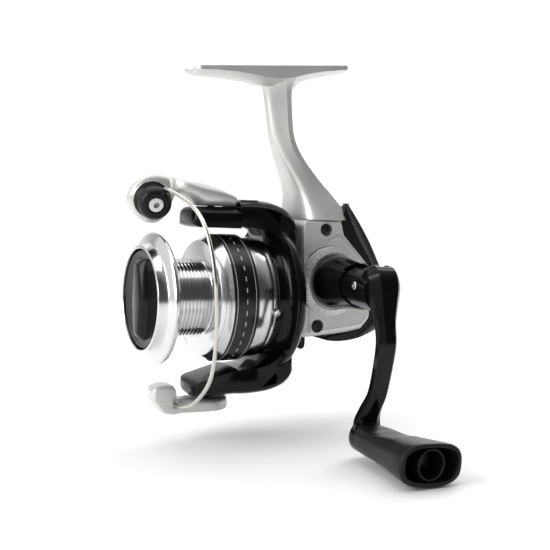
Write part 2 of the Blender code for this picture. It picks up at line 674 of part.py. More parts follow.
FACE_TEETH = PINION_TEETH * RATIO
FACE_MID_R = math.hypot(MESH_Y, CRANK_Z)
FACE_IN_R = FACE_MID_R - 1.0
FACE_OUT_R = FACE_MID_R + 1.0
FACE_PHASE = math.atan2(-CRANK_Z, -MESH_Y)
FACE_LEAN = math.atan2(CRANK_Z, MESH_Y) - (math.pi / 2 - HELIX)


def face_tooth(angle):
    """One low ridge of the face gear: drawn at its mid radius, leaning to follow the helix."""
    mesh = bmesh.new()
    half_len = (FACE_OUT_R - FACE_IN_R) / 2
    rows = []
    for along in (-half_len, half_len):
        row = []
        for x, half in ((FACE_ROOT_X - 0.2, 0.42), (FACE_TIP_X, 0.2), (FACE_TIP_X, -0.2),
                        (FACE_ROOT_X - 0.2, -0.42)):
            row.append(vec(x, FACE_MID_R + along * math.cos(FACE_LEAN) + half * math.sin(FACE_LEAN),
                           half * math.cos(FACE_LEAN) - along * math.sin(FACE_LEAN)))
        rows.append([mesh.verts.new(p) for p in row])
    low, high = rows
    for i in range(4):
        j = (i + 1) % 4
        mesh.faces.new((low[i], low[j], high[j], high[i]))
    mesh.faces.new(low)
    mesh.faces.new(high)
    return turned(mesh, angle, "X")


def merged(meshes):
    """Put several shapes into one mesh."""
    whole = bmesh.new()
    for mesh in meshes:
        data = bpy.data.meshes.new("merge")
        mesh.to_mesh(data)
        mesh.free()
        whole.from_mesh(data)
        bpy.data.meshes.remove(data)
    return whole


gear_profile = [(0, -12.6), (2.6, -12.6), (2.6, -9.2), (4.6, -9.2), (4.6, -6.0), (8.2, -6.0),
                (FACE_IN_R - 0.6, -5.6), (FACE_OUT_R + 0.2, -5.6), (FACE_OUT_R + 0.2, FACE_ROOT_X),
                (FACE_IN_R - 0.4, FACE_ROOT_X), (FACE_IN_R - 1.4, -4.6), (2.1, -4.6), (2.1, 4.6),
                (2.6, 5.0), (2.6, 15.8), (0, 15.8)]
drive = solid("drive_gear", along_x(lathe(gear_profile, 30)), "zinc", CRANK)
PHASE = -CRANK_ANGLE + FACE_PHASE
teeth = [face_tooth(PHASE + 2 * math.pi * i / FACE_TEETH) for i in range(FACE_TEETH)]
join(drive, merged(teeth))
cut(drive, along_x(rod(1.9, 9.0, 17.0, 6)))
cut(drive, along_x(rod(1.7, -14.0, -9.8, 14)))

OSC_X = 5.2
mesh_angle = math.atan2(OSC_Z - CRANK_Z, OSC_Y - CRANK_Y)
small = spur_loop(OSC_DRIVER_TEETH, OSC_MODULE, 0.86, mesh_angle - CRANK_ANGLE)
small_gear = solid("oscillation_pinion", prism(small, OSC_X, OSC_X + 2.6, "X"), "zinc", CRANK)
cut(small_gear, along_x(rod(2.6 + 0.02, OSC_X - 1, OSC_X + 4, 40)))
OSC = frame("oscillation_axis", REEL, (OSC_X, OSC_Y, OSC_Z))
half_tooth = math.pi / OSC_TEETH
big = spur_loop(OSC_TEETH, OSC_MODULE, 0.86, mesh_angle + math.pi + half_tooth)
osc_gear = solid("oscillation_gear", prism(big, 0.0, 2.2, "X"), "zinc", OSC)
pin_room = moved(along_x(rod(0.9, -1.5, 0.5, 14)), y=OSC_PIN_DY, z=OSC_PIN_DZ)
join(osc_gear, pin_room, along_x(rod(2.0, 1.5, 4.2, 20)))
osc_post = along_x(rod(1.3, -1.0, 6.0, 16))
cut(osc_gear, osc_post)
post_mesh = moved(along_x(rod(1.0, OSC_X + 0.4, COVER_X + 0.5, 14)), y=OSC_Y, z=OSC_Z)
join(cover, post_mesh)

# ---------------------------------------------------------------- oscillation and spool shaft
SHAFT = frame("shaft_axis", REEL)
SHAFT_FRONT = -3.6
shaft_mesh = lathe([(0, SHAFT_FRONT), (MAIN_SHAFT_R - 0.3, SHAFT_FRONT), (MAIN_SHAFT_R, -3.2),
                    (MAIN_SHAFT_R, SLIDER_Y - 2.6), (1.2, SLIDER_Y - 2.6), (1.2, SLIDER_Y + 2.0),
                    (0, SLIDER_Y + 2.0)], 20)
solid("main_shaft", shaft_mesh, "steel", SHAFT)
slider = solid("oscillation_slider", box(-2.5, 3.3, SLIDER_Y - SLIDER_HALF, SLIDER_Y + SLIDER_HALF, -6.8, 8.0),
               "zinc", SHAFT)
slot = prism(oval(1.25, 6.1, 20, 8.0), 1.7, 6.0, "X")
cut(slider, moved(slot, y=SLIDER_Y, z=OSC_Z))
cut(slider, rod(1.2 + 0.02, SLIDER_Y - 4, SLIDER_Y + 4, 20))
RAIL_Z = -5.4
RAIL_X = 0.0
rail_hole = moved(rod(1.2, SLIDER_Y - 4, SLIDER_Y + 4, 16), x=RAIL_X, z=RAIL_Z)
cut(slider, rail_hole)
solid("slider_rail", moved(rod(0.9, 53.0, SLIDER_ROOM_END + 0.9, 12), x=RAIL_X, z=RAIL_Z), "steel", REEL)
cut(body, moved(rod(0.92, 52.8, SLIDER_ROOM_END + 1.1, 12), x=RAIL_X, z=RAIL_Z))
slider_screw = turned(cap_screw(1.9, 0.9, 0.7, 1.0, 0.8), math.pi, "Z")
solid("slider_screw", slider_screw, "black_screw", SHAFT, (0, SLIDER_Y + 3.4, 0))

collar_profile = [(MAIN_SHAFT_R + 0.07, 13.2), (4.2, 13.2), (4.2, 15.0), (2.9, 15.0), (2.9, 16.6),
                  (MAIN_SHAFT_R + 0.07, 16.6)]
solid("spool_collar", lathe(collar_profile, 18), "brass", SHAFT)

# ---------------------------------------------------------------- spool and drag
SPOOL = frame("spool_axis", SHAFT)
HUB_FRONT = 9.2
HUB_REAR = 12.6
groove_count = 6
arbor = []
pitch = (ARBOR_REAR - ARBOR_FRONT - 1.4) / groove_count
for i in range(groove_count):
    at = ARBOR_FRONT + 0.9 + pitch * i
    arbor += [(ARBOR_R, at), (ARBOR_R - 0.35, at + pitch * 0.5)]
outer = [(KNOB_HOLE_R, -4.2), (RIM_R - 0.3, -4.2), (RIM_R, -3.7), (RIM_R + 0.8, -1.1), (21.2, -0.4),
         (FLANGE_R, 0.1), (FLANGE_R, 1.2), (21.3, 2.4), (ARBOR_R + 0.6, ARBOR_FRONT)]
outer += arbor
outer += [(ARBOR_R, ARBOR_REAR - 0.4), (ARBOR_R + 0.5, ARBOR_REAR), (19.4, ARBOR_REAR), (20.4, 18.4), (SKIRT_R, 20.4),
          (SKIRT_R, 29.2), (SKIRT_REAR_R + 0.5, 29.9), (SKIRT_REAR_R + 0.4, 35.3),
          (SKIRT_REAR_R, 35.6), (SKIRT_REAR_R, SKIRT_END), (19.0, SKIRT_END)]
HUB_BORE_R = MAIN_SHAFT_R + 0.4
WASHER_BORE_R = MAIN_SHAFT_R + 0.65
inner = [(19.0, 20.6), (18.2, 18.6), (11.2, 18.6), (11.2, HUB_REAR), (HUB_BORE_R, HUB_REAR),
         (HUB_BORE_R, HUB_FRONT), (9.6, HUB_FRONT), (9.6, 1.0), (15.0, 0.2), (KNOB_HOLE_R, -1.0)]
spool = solid("spool", lathe(outer + inner, 32), "turned_aluminium", SPOOL)
CLIP_Y = 36.5
CLIP_R = SKIRT_REAR_R + GAP + 0.1
clip_mesh = lathe([(0, 0.0), (1.3, 0.0), (1.3, 0.5), (0.9, 0.9), (0, 0.9)], 16)
clip_angle = math.radians(-9)
solid("line_clip", along_x(clip_mesh), "steel", SPOOL,
      (CLIP_R * math.cos(clip_angle), CLIP_Y, CLIP_R * math.sin(clip_angle)), (0, -clip_angle, 0))

solid("drag_washer_felt", pipe(WASHER_BORE_R, 9.1, 8.0, 8.9), "felt", SPOOL)
solid("drag_washer_metal", pipe(WASHER_BORE_R, 9.1, 6.7, 7.7), "steel", SHAFT)
solid("drag_washer_felt_outer", pipe(WASHER_BORE_R, 9.1, 5.5, 6.4), "felt", SPOOL)
solid("drag_retainer", pipe(8.1, 9.4, 2.4, 3.1), "steel", SPOOL)
gear_teeth = []
for i in range(16):
    angle = 2 * math.pi * i / 16
    gear_teeth += [(5.6 * math.cos(angle), 5.6 * math.sin(angle)),
                   (6.4 * math.cos(angle + 0.2), 6.4 * math.sin(angle + 0.2))]
click_gear = solid("click_gear", prism(gear_teeth, 13.2, 14.4, "Y"), "nylon", SHAFT)
cut(click_gear, rod(4.5, 12.0, 16.0, 28))
click_gear.parent = SHAFT
pawl_mesh = prism([(7.0, -0.9), (10.2, -1.5), (10.4, 1.5), (7.4, 0.9)], 13.1, 14.5, "Y")
solid("click_pawl", pawl_mesh, "nylon", SPOOL)

PLATE = frame("pressure_plate_axis", SHAFT)
plate = [(2.1, 3.5), (7.6, 3.5), (7.6, 5.1), (2.1, 5.1)]
solid("drag_pressure_plate", lathe(plate, 20), "steel", PLATE)

DRAG = frame("drag_axis", SHAFT)
KNOB_R = KNOB_HOLE_R - 0.4
knob_profile = [(0, -3.4), (12.6, -3.4), (15.4, -3.0), (KNOB_R, -2.4), (KNOB_R, -0.9),
                (7.6, -0.9), (7.6, 2.0), (0, 2.0)]
drag_knob = solid("drag_knob", lathe(knob_profile, 32), "satin_black", DRAG)
grip = loft([
    [vec(a, -2.8, b) for a, b in ((-4.4, -13.4), (4.4, -13.4), (5.2, 0), (4.4, 13.4), (-4.4, 13.4),
                                  (-5.2, 0))],
    [vec(a, -5.6, b) for a, b in ((-3.0, -10.8), (3.0, -10.8), (3.7, 0), (3.0, 10.8), (-3.0, 10.8),
                                  (-3.7, 0))],
])
join(drag_knob, grip)
cut(drag_knob, rod(MAIN_SHAFT_R + 0.45, -4.0, 3.0, 24), rod(4.6, -2.2, 3.0, 6))
NUT = frame("drag_nut_axis", DRAG)
nut = solid("drag_nut", rod(4.2, -1.5, 0.7, 6), "brass", NUT)
cut(nut, rod(MAIN_SHAFT_R + 0.35, -3.0, 3.0, 20))
coil = []
turns = 2.0
for i in range(21):
    angle = 2 * math.pi * turns * i / 20
    coil.append((3.3 * math.cos(angle), 1.5 + 1.3 * i / 20, 3.3 * math.sin(angle)))
solid("drag_spring", sweep(coil, 0.28, 6), "steel", PLATE)

# ---------------------------------------------------------------- rotor
rotor_profile = [
    (3.1, CUP_FRONT), (CUP_R - 1.0, CUP_FRONT), (CUP_R, CUP_FRONT + 1.0), (CUP_R, 40.2),
    (19.4, 41.8), (21.4, 42.8), (24.6, 42.2), (25.2, BOWL_FRONT), (BOWL_R, BOWL_FRONT),
    (BOWL_R, 43.3), (24.3, 45.0), (21.4, 46.6), (18.4, 47.7), (16.6, ROTOR_REAR),
    (16.3, ROTOR_REAR - 0.3), (16.3, 26.0), (6.6, 26.0), (6.6, 32.4), (3.1, 32.4),
]
rotor = solid("rotor", lathe(rotor_profile, 32), "gloss_black", ROTOR)


def arm_ring(y, low, high, half, side, tilt=0.0):
    """A section of a rotor arm between two heights; tilt leans the outer edge rearwards."""
    span = high - low
    points = [(-half, 0.0), (-half, 0.55), (-half * 0.72, 0.88), (-half * 0.3, 1.0),
              (half * 0.3, 1.0), (half * 0.72, 0.88), (half, 0.55), (half, 0.0),
              (half * 0.6, -0.04), (-half * 0.6, -0.04)]
    return [vec(a, y + (b - 0.5) * tilt, side * (low + span * b)) for a, b in points]


def rotor_arm(side, seat):
    return loft([
        arm_ring(ARM_FRONT, 26.3, seat - 0.6, 7.2, side),
        arm_ring(ARM_FRONT + 1.2, 25.7, seat, 7.9, side),
        arm_ring(28.2, 24.5, seat, 8.6, side),
        arm_ring(28.3, 24.5, ARM_OUT, 8.6, side),
        arm_ring(36.5, 23.6, ARM_OUT, 9.2, side),
        arm_ring(40.2, 22.6, 32.6, 10.2, side, 3.0),
        arm_ring(43.4, 20.8, 30.6, 12.0, side, 5.0),
        arm_ring(45.0, 18.4, 27.2, 14.0, side, 5.6),
        arm_ring(45.2, 15.0, 22.0, 14.6, side, 4.6),
    ])


join(rotor, rotor_arm(1, ARM_SEAT), rotor_arm(-1, ARM_LOW))
cut(rotor, pipe(9.0, 16.25, 26.1, 49.0, 32))
window = [(37.2, 30.6), (42.4, 29.0), (41.6, 25.0)]
for side in (1, -1):
    cut(rotor, prism([(a, side * b) for a, b in window], -16.0, 16.0, "X"))
PIVOT_HOLE_R = 1.35
pocket = box(-5.4, 5.4, 29.4, 36.2, 27.0, ARM_OUT + 2)
cut(rotor, pocket)
cut(rotor, moved(along_z(rod(PIVOT_HOLE_R, 26.6, 34.0, 16)), y=BAIL_PIVOT_Y))
cut(rotor, moved(along_z(rod(PIVOT_HOLE_R, -36.0, -28.4, 16)), y=BAIL_PIVOT_Y))
sleeve = pipe(3.15, 7.7, NOSE_FRONT + 1.5, 41.2)
solid("clutch_sleeve", sleeve, "steel", ROTOR)
rotor_nut = solid("rotor_nut", rod(4.6, 20.4, CUP_FRONT - GAP, 6), "steel", ROTOR)
cut(rotor_nut, rod(3.1, 19.0, 24.0, 24))

cover_top = solid("arm_cover_top", box(-5.1, 5.1, 29.7, 35.9, 31.2, ARM_OUT), "gloss_black", ROTOR)
cut(cover_top, along_z(moved(rod(0.9, 29.0, 35.0, 12), z=-32.8)))
cut(cover_top, along_z(moved(rod(1.9, ARM_OUT - 0.8, 35.0, 16), z=-32.8)))
cover_screw = turned(cap_screw(1.6, 0.5, 0.6, 2.6, 0.35), -math.pi / 2, "X")
solid("arm_cover_screw_top", cover_screw, "black_screw", ROTOR, (0, 32.8, ARM_OUT - 0.05))
TRIP = frame("trip_lever_axis", ROTOR, (0, 0, 0))
solid("trip_lever", prism([(-4.4, 30.0), (-1.6, 30.0), (-1.6, 33.4), (-4.4, 33.4)], 28.0, 29.6, "Z"),
      "zinc", TRIP)
spring_path = []
for i in range(29):
    angle = 2 * math.pi * 3.5 * i / 28
    spring_path.append((2.9 + 1.2 * math.cos(angle), 30.6 + 4.6 * i / 28, 29.1 + 1.2 * math.sin(angle)))
solid("bail_spring", sweep(spring_path, 0.25, 6), "steel", ROTOR)

# ---------------------------------------------------------------- bail
BAIL = frame("bail_axis", ROTOR, (0, BAIL_PIVOT_Y, 0))
SEAT_Z = ARM_SEAT + 0.45


def block_ring(y, x0, x1, z0, z1, power=3.4, count=16):
    """A rounded rectangle across Y, in the bail's frame."""
    return [
        vec((x0 + x1) / 2 + a, y - BAIL_PIVOT_Y, (z0 + z1) / 2 + b)
        for a, b in oval((x1 - x0) / 2, (z1 - z0) / 2, count, power)
    ]


bail_arm = solid("bail_arm", loft([
    block_ring(27.7, -1.6, 1.6, SEAT_Z + 0.6, 33.6),
    block_ring(26.6, -4.2, 4.2, SEAT_Z, 35.0),
    block_ring(24.0, -6.5, 6.5, SEAT_Z, 36.2),
    block_ring(20.5, -7.3, 7.3, SEAT_Z, 37.4, 4.0),
    block_ring(16.0, -6.8, 6.4, SEAT_Z, 38.5, 4.0),
    block_ring(13.6, -7.0, 5.6, 33.5, 39.0, 3.6),
    block_ring(10.0, -7.2, 4.2, 34.6, 39.7, 3.2),
    block_ring(7.4, -7.4, 1.4, 34.2, 40.2, 2.8),
    block_ring(6.6, -7.4, -1.6, 28.8, 40.4, 2.4),
    block_ring(3.8, -7.4, -1.4, 25.6, 41.0, 2.4),
    block_ring(0.9, -7.4, -1.4, 24.8, 41.1, 2.4),
    block_ring(-2.4, -7.4, -1.4, 25.7, 40.2, 2.4),
    block_ring(-5.4, -7.2, -1.6, 28.3, 37.8, 2.4),
    block_ring(-7.2, -6.2, -2.6, 31.6, 34.6, 2.4),
]), "silver_paint", BAIL)
SCREW_TOP_Z = 37.6
screw_seat = along_z(lathe([(0, 34.4), (2.9, 34.4), (2.9, 40.0), (0, 40.0)], 20))
pivot_bore = along_z(rod(2.0, 28.0, 36.0, 20))
cut(bail_arm, screw_seat, pivot_bore)
arm_screw = turned(cap_screw(2.6, 1.2, 1.2, 7.6, 1.2), -math.pi / 2, "X")
solid("bail_arm_screw", arm_screw, "steel", ROTOR, (0, BAIL_PIVOT_Y, 35.9))

LOW_SEAT = -ARM_LOW - 0.4
holder = solid("bail_holder", loft([
    block_ring(27.6, -1.6, 1.6, -37.2, LOW_SEAT - 0.4),
    block_ring(26.4, -4.0, 4.0, -38.2, LOW_SEAT),
    block_ring(23.6, -5.9, 5.9, -38.4, LOW_SEAT, 4.0),
    block_ring(20.5, -6.5, 6.5, -38.5, LOW_SEAT, 4.0),
    block_ring(15.4, -5.6, 5.6, -38.6, LOW_SEAT, 4.0),
    block_ring(10.6, -4.4, 4.6, -38.7, LOW_SEAT, 3.4),
    block_ring(8.1, -4.2, 4.4, -38.8, LOW_SEAT + 0.2, 3.0),
    block_ring(7.4, -4.2, 4.2, -38.8, -29.4, 3.0),
    block_ring(4.6, -4.0, 4.0, -38.2, -28.6, 3.0),
    block_ring(2.0, -3.4, 3.4, -35.8, -29.2, 2.8),
    block_ring(0.4, -1.8, 1.8, -32.9, -30.6, 2.4),
]), "silver_paint", BAIL)
low_seat = along_z(lathe([(0, -40.0), (2.7, -40.0), (2.7, -36.6), (0, -36.6)], 20))
low_bore = along_z(rod(2.0, -38.0, -30.0, 20))
cut(holder, low_seat, low_bore)
low_screw = turned(cap_screw(2.4, 1.2, 1.2, 7.6, 1.1), math.pi / 2, "X")
solid("bail_holder_screw", low_screw, "steel", ROTOR, (0, BAIL_PIVOT_Y, -38.0))

# the roller leans a little forwards and down from +X
ROLLER_AT = vec(0.0, -0.4 - BAIL_PIVOT_Y, 32.7)
ROLLER_DIR = vec(0.96, -0.16, -0.22).normalized()
ROLLER_TURN = vec(0, 1, 0).rotation_difference(ROLLER_DIR).to_euler()
ROLLER = frame("roller_axis", BAIL, ROLLER_AT, ROLLER_TURN)
roller_profile = [(1.75, 0.3), (5.9, 0.3), (6.0, 0.9), (4.9, 2.0), (4.7, 2.7), (5.2, 3.5), (5.2, 3.9),
                  (1.75, 3.9)]
solid("line_roller", lathe(roller_profile, 24), "satin_black", ROLLER)
roller_fixed = frame("roller_seat", BAIL, ROLLER_AT, ROLLER_TURN)
washer = pipe(1.7, 6.4, -0.5, 0.0, 24)
solid("roller_washer", washer, "steel", roller_fixed)
roller_screw = turned(cap_screw(2.5, 1.3, 1.45, 8.8, 1.3), 0.0, "Z")
screw_node = solid("roller_screw", turned(roller_screw, math.pi, "Z"), "steel", roller_fixed,
                   vec(0, 7.2, 0))
screw_node.rotation_euler = (0, 0, 0)
screw_bore = rod(1.6, -3.6, 3.0, 16)
seat_cut = lathe([(0, -0.8), (7.6, -0.8), (7.6, 12.0), (0, 12.0)], 20)
screw_matrix = Matrix.Translation(ROLLER_AT) @ ROLLER_TURN.to_matrix().to_4x4()
for mesh in (screw_bore, seat_cut):
    bmesh.ops.transform(mesh, matrix=screw_matrix, verts=mesh.verts)
    cut(bail_arm, mesh)

wire_points = [(6.6, 0.6, 35.4), (10.6, 0.4, 36.3), (18.0, 2.0, 34.3), (26.2, 3.5, 30.9),
               (31.6, 4.6, 26.1), (35.8, 5.3, 18.9), (37.9, 6.0, 10.2), (38.0, 6.4, 4.2),
               (37.7, 6.8, -2.4), (35.6, 7.5, -13.2), (30.6, 8.0, -23.0), (19.4, 8.4, -31.2),
               (10.0, 8.2, -34.6), (1.0, 6.9, -36.0)]
wire_path = [p - Vector((0, BAIL_PIVOT_Y, 0)) for p in spline(wire_points, 2)]
WIRE_R = 0.62
wire = solid("bail_wire", sweep(wire_path, WIRE_R, 8), "steel", BAIL)
cap_mesh = lathe([(1.75, 4.2), (5.4, 4.2), (5.4, 5.0), (4.6, 6.9), (3.2, 7.3), (2.8, 7.3), (2.8, 5.6),
                  (1.75, 5.6)], 24)
bmesh.ops.transform(cap_mesh, matrix=screw_matrix, verts=cap_mesh.verts)
cap_lug = sweep([(6.2, -20.3, 34.4), (9.6, -20.0, 36.1)], [1.1, 0.95], 12)
cap_node = solid("bail_wire_cap", cap_mesh, "satin_black", BAIL)
cap_bore = rod(2.8, 5.6, 12.0, 20)
bmesh.ops.transform(cap_bore, matrix=screw_matrix, verts=cap_bore.verts)
join(cap_node, cap_lug)
cut(cap_node, cap_bore)
cut(cap_node, sweep([p for p in wire_path[:5]], WIRE_R + 0.08, 8))
cut(holder, sweep([p for p in wire_path[-5:]], WIRE_R + 0.08, 8))
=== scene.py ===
import math

import bmesh
import bpy
from mathutils import Matrix, Vector


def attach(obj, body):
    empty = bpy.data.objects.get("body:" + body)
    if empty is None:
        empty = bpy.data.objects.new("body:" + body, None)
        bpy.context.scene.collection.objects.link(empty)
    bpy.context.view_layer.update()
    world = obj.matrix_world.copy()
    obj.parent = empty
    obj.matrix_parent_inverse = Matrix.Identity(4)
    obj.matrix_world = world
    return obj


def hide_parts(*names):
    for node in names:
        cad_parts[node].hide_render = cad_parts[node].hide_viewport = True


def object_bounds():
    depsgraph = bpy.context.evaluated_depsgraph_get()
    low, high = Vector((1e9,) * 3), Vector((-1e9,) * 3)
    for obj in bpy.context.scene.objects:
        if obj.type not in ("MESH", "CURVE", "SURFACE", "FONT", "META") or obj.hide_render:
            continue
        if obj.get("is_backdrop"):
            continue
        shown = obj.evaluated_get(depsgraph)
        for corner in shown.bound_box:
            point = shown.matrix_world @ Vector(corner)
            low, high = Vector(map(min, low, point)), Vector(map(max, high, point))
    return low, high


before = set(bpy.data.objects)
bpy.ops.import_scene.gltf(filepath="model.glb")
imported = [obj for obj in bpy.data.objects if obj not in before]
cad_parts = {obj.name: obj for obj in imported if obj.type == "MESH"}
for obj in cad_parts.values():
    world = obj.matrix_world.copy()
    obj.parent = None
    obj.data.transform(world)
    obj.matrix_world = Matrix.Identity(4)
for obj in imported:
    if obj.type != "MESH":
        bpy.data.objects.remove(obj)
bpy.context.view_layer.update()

MM = 0.001
PI = math.pi


# ---------------------------------------------------------------- shapes, drawn in millimetres
def vec(*parts):
    return Vector(parts)


def loft(rings, caps=True):
    """Skin a row of loops that have the same number of points."""
    mesh = bmesh.new()
    rows = [[mesh.verts.new(point) for point in loop] for loop in rings]
    for low, high in zip(rows, rows[1:]):
        for i in range(len(low)):
            j = (i + 1) % len(low)
            mesh.faces.new((low[i], low[j], high[j], high[i]))
    if caps:
        mesh.faces.new(rows[0])
        mesh.faces.new(rows[-1])
    return mesh


def lathe(profile, count=96, turn=0.0):
    """Turn a profile of (radius, y) about Y. A profile off the axis is a closed loop."""
    mesh = bmesh.new()
    rows = []
    step = 2 * PI / count
    for radius, at in profile:
        if radius < 1e-6:
            rows.append([mesh.verts.new(vec(0, at, 0))])
        else:
            rows.append([
                mesh.verts.new(vec(radius * math.cos(turn + step * i), at,
                                   radius * math.sin(turn + step * i)))
                for i in range(count)
            ])
    for low, high in zip(rows, rows[1:] + rows[:1]):
        if len(low) == 1 and len(high) == 1:
            continue
        for i in range(count):
            j = (i + 1) % count
            if len(low) == 1:
                mesh.faces.new((low[0], high[j], high[i]))
            elif len(high) == 1:
                mesh.faces.new((low[i], low[j], high[0]))
            else:
                mesh.faces.new((low[i], low[j], high[j], high[i]))
    return mesh


def rod(radius, start, end, count=48, turn=0.0):
    return lathe([(0, start), (radius, start), (radius, end), (0, end)], count, turn)


def pipe(inner, outer, start, end, count=64):
    return lathe([(inner, start), (outer, start), (outer, end), (inner, end)], count)


def soft_rod(radius, start, end, edge, count=48):
    """A rod with rounded ends."""
    profile = [(0, start)]
    for i in range(5):
        a = PI / 2 * i / 4
        profile.append((radius - edge + edge * math.sin(a), start + edge - edge * math.cos(a)))
    for i in range(5):
        a = PI / 2 * i / 4
        profile.append((radius - edge + edge * math.cos(a), end - edge + edge * math.sin(a)))
    profile.append((0, end))
    return lathe(profile, count)


def prism(outline, start, end, axis="X"):
    """Extrude an outline along an axis. The outline holds (y, z) for X, (x, z) for Y, (x, y) for Z."""
    places = {
        "X": lambda a, b, t: vec(t, a, b),
        "Y": lambda a, b, t: vec(a, t, b),
        "Z": lambda a, b, t: vec(a, b, t),
    }
    place = places[axis]
    return loft([[place(a, b, t) for a, b in outline] for t in (start, end)])


def box(x0, x1, y0, y1, z0, z1):
    return prism([(x0, y0), (x1, y0), (x1, y1), (x0, y1)], z0, z1, "Z")


def sweep(path, radius, count=20):
    """A round bar along a path of points; radius is a number or one number for each point."""
    path = [Vector(point) for point in path]
    radii = radius if isinstance(radius, list) else [radius] * len(path)
    tangents = []
    for i in range(len(path)):
        ahead = path[min(i + 1, len(path) - 1)]
        behind = path[max(i - 1, 0)]
        tangents.append((ahead - behind).normalized())
    side = tangents[0].orthogonal().normalized()
    rings = []
    for point, tangent, size in zip(path, tangents, radii):
        side = (side - tangent * side.dot(tangent)).normalized()
        other = tangent.cross(side)
        step = 2 * PI / count
        rings.append([
            point + size * (math.cos(step * i) * side + math.sin(step * i) * other)
            for i in range(count)
        ])
    return loft(rings)


def spline(points, parts):
    """Points of a Catmull-Rom curve through points of any dimension."""
    points = [Vector(point) for point in points]
    ends = [2 * points[0] - points[1]] + points + [2 * points[-1] - points[-2]]
    out = []
    for a, b, c, d in zip(ends, ends[1:], ends[2:], ends[3:]):
        for i in range(parts):
            t = i / parts
            out.append(0.5 * (2 * b + (c - a) * t + (2 * a - 5 * b + 4 * c - d) * t ** 2
                              + (3 * b - a - 3 * c + d) * t ** 3))
    out.append(points[-1])
    return out


def smooth_rings(rings, parts):
    """Fill in rings between rings, each point following its own smooth curve."""
    lines = [spline([ring[i] for ring in rings], parts) for i in range(len(rings[0]))]
    return [list(ring) for ring in zip(*lines)]


def rounded(outline, radius, parts=5):
    """An outline of 2-D points with each corner rounded."""
    out = []
    count = len(outline)
    for i in range(count):
        before, at, after = (Vector(outline[(i + k) % count]) for k in (-1, 0, 1))
        reach = min(radius, (before - at).length * 0.45, (after - at).length * 0.45)
        a = at + (before - at).normalized() * reach
        b = at + (after - at).normalized() * reach
        for k in range(parts + 1):
            t = k / parts
            point = a * (1 - t) ** 2 + at * 2 * t * (1 - t) + b * t ** 2
            out.append((point.x, point.y))
    return out


def oval(half_a, half_b, count, power=2.0):
    """Points of a superellipse; power 2 is an ellipse and larger is squarer."""
    out = []
    for i in range(count):
        angle = 2 * PI * (i + 0.5) / count
        a = math.copysign(abs(math.cos(angle)) ** (2 / power), math.cos(angle))
        b = math.copysign(abs(math.sin(angle)) ** (2 / power), math.sin(angle))
        out.append((half_a * a, half_b * b))
    return out


def inset(outline, amount):
    """Move each side of an anticlockwise or clockwise outline inwards by a length."""
    area = sum(a[0] * b[1] - b[0] * a[1] for a, b in zip(outline, outline[1:] + outline[:1]))
    sign = 1 if area > 0 else -1
    out = []
    count = len(outline)
    for i in range(count):
        before, at, after = (Vector(outline[(i + k) % count]) for k in (-1, 0, 1))
        first = (at - before).normalized()
        second = (after - at).normalized()
        normal_1 = Vector((-first.y, first.x)) * sign
        normal_2 = Vector((-second.y, second.x)) * sign
        middle = normal_1 + normal_2
        point = at + middle * (2 * amount / max(middle.length_squared, 0.6))
        out.append((point.x, point.y))
    return out


def moved(mesh, x=0.0, y=0.0, z=0.0):
    bmesh.ops.translate(mesh, verts=mesh.verts, vec=(x, y, z))
    return mesh


def turned(mesh, angle, axis):
    bmesh.ops.rotate(mesh, verts=mesh.verts, matrix=Matrix.Rotation(angle, 3, axis))
    return mesh


def along_x(mesh):
    return turned(mesh, -PI / 2, "Z")


def along_z(mesh):
    return turned(mesh, PI / 2, "X")


def carried(mesh, matrix):
    bmesh.ops.transform(mesh, matrix=matrix, verts=mesh.verts)
    return mesh


# ---------------------------------------------------------------- frames, in millimetres
def shift(x, y, z):
    return Matrix.Translation((x, y, z))


SADDLE_Y = 40.7
SADDLE_Z = 77.4
CRANK_Y = 60.0
CRANK_Z = 6.3
FOLD_X = 40.5
FOLD_Z = 0.8
CRANK_RADIUS = 47.4
BAIL_Y = 20.5
REEL = shift(0, -SADDLE_Y, -SADDLE_Z)
CRANK = REEL @ shift(0, CRANK_Y, CRANK_Z) @ Matrix.Rotation(math.radians(-3.3), 4, "X")
KNOB = CRANK @ shift(0, 0, -CRANK_RADIUS)
ROLLER_DIR = vec(0.96, -0.16, -0.22).normalized()
ROLLER_TURN = vec(0, 1, 0).rotation_difference(ROLLER_DIR).to_matrix().to_4x4()
ROLLER = REEL @ shift(0, -0.4, 32.7) @ ROLLER_TURN


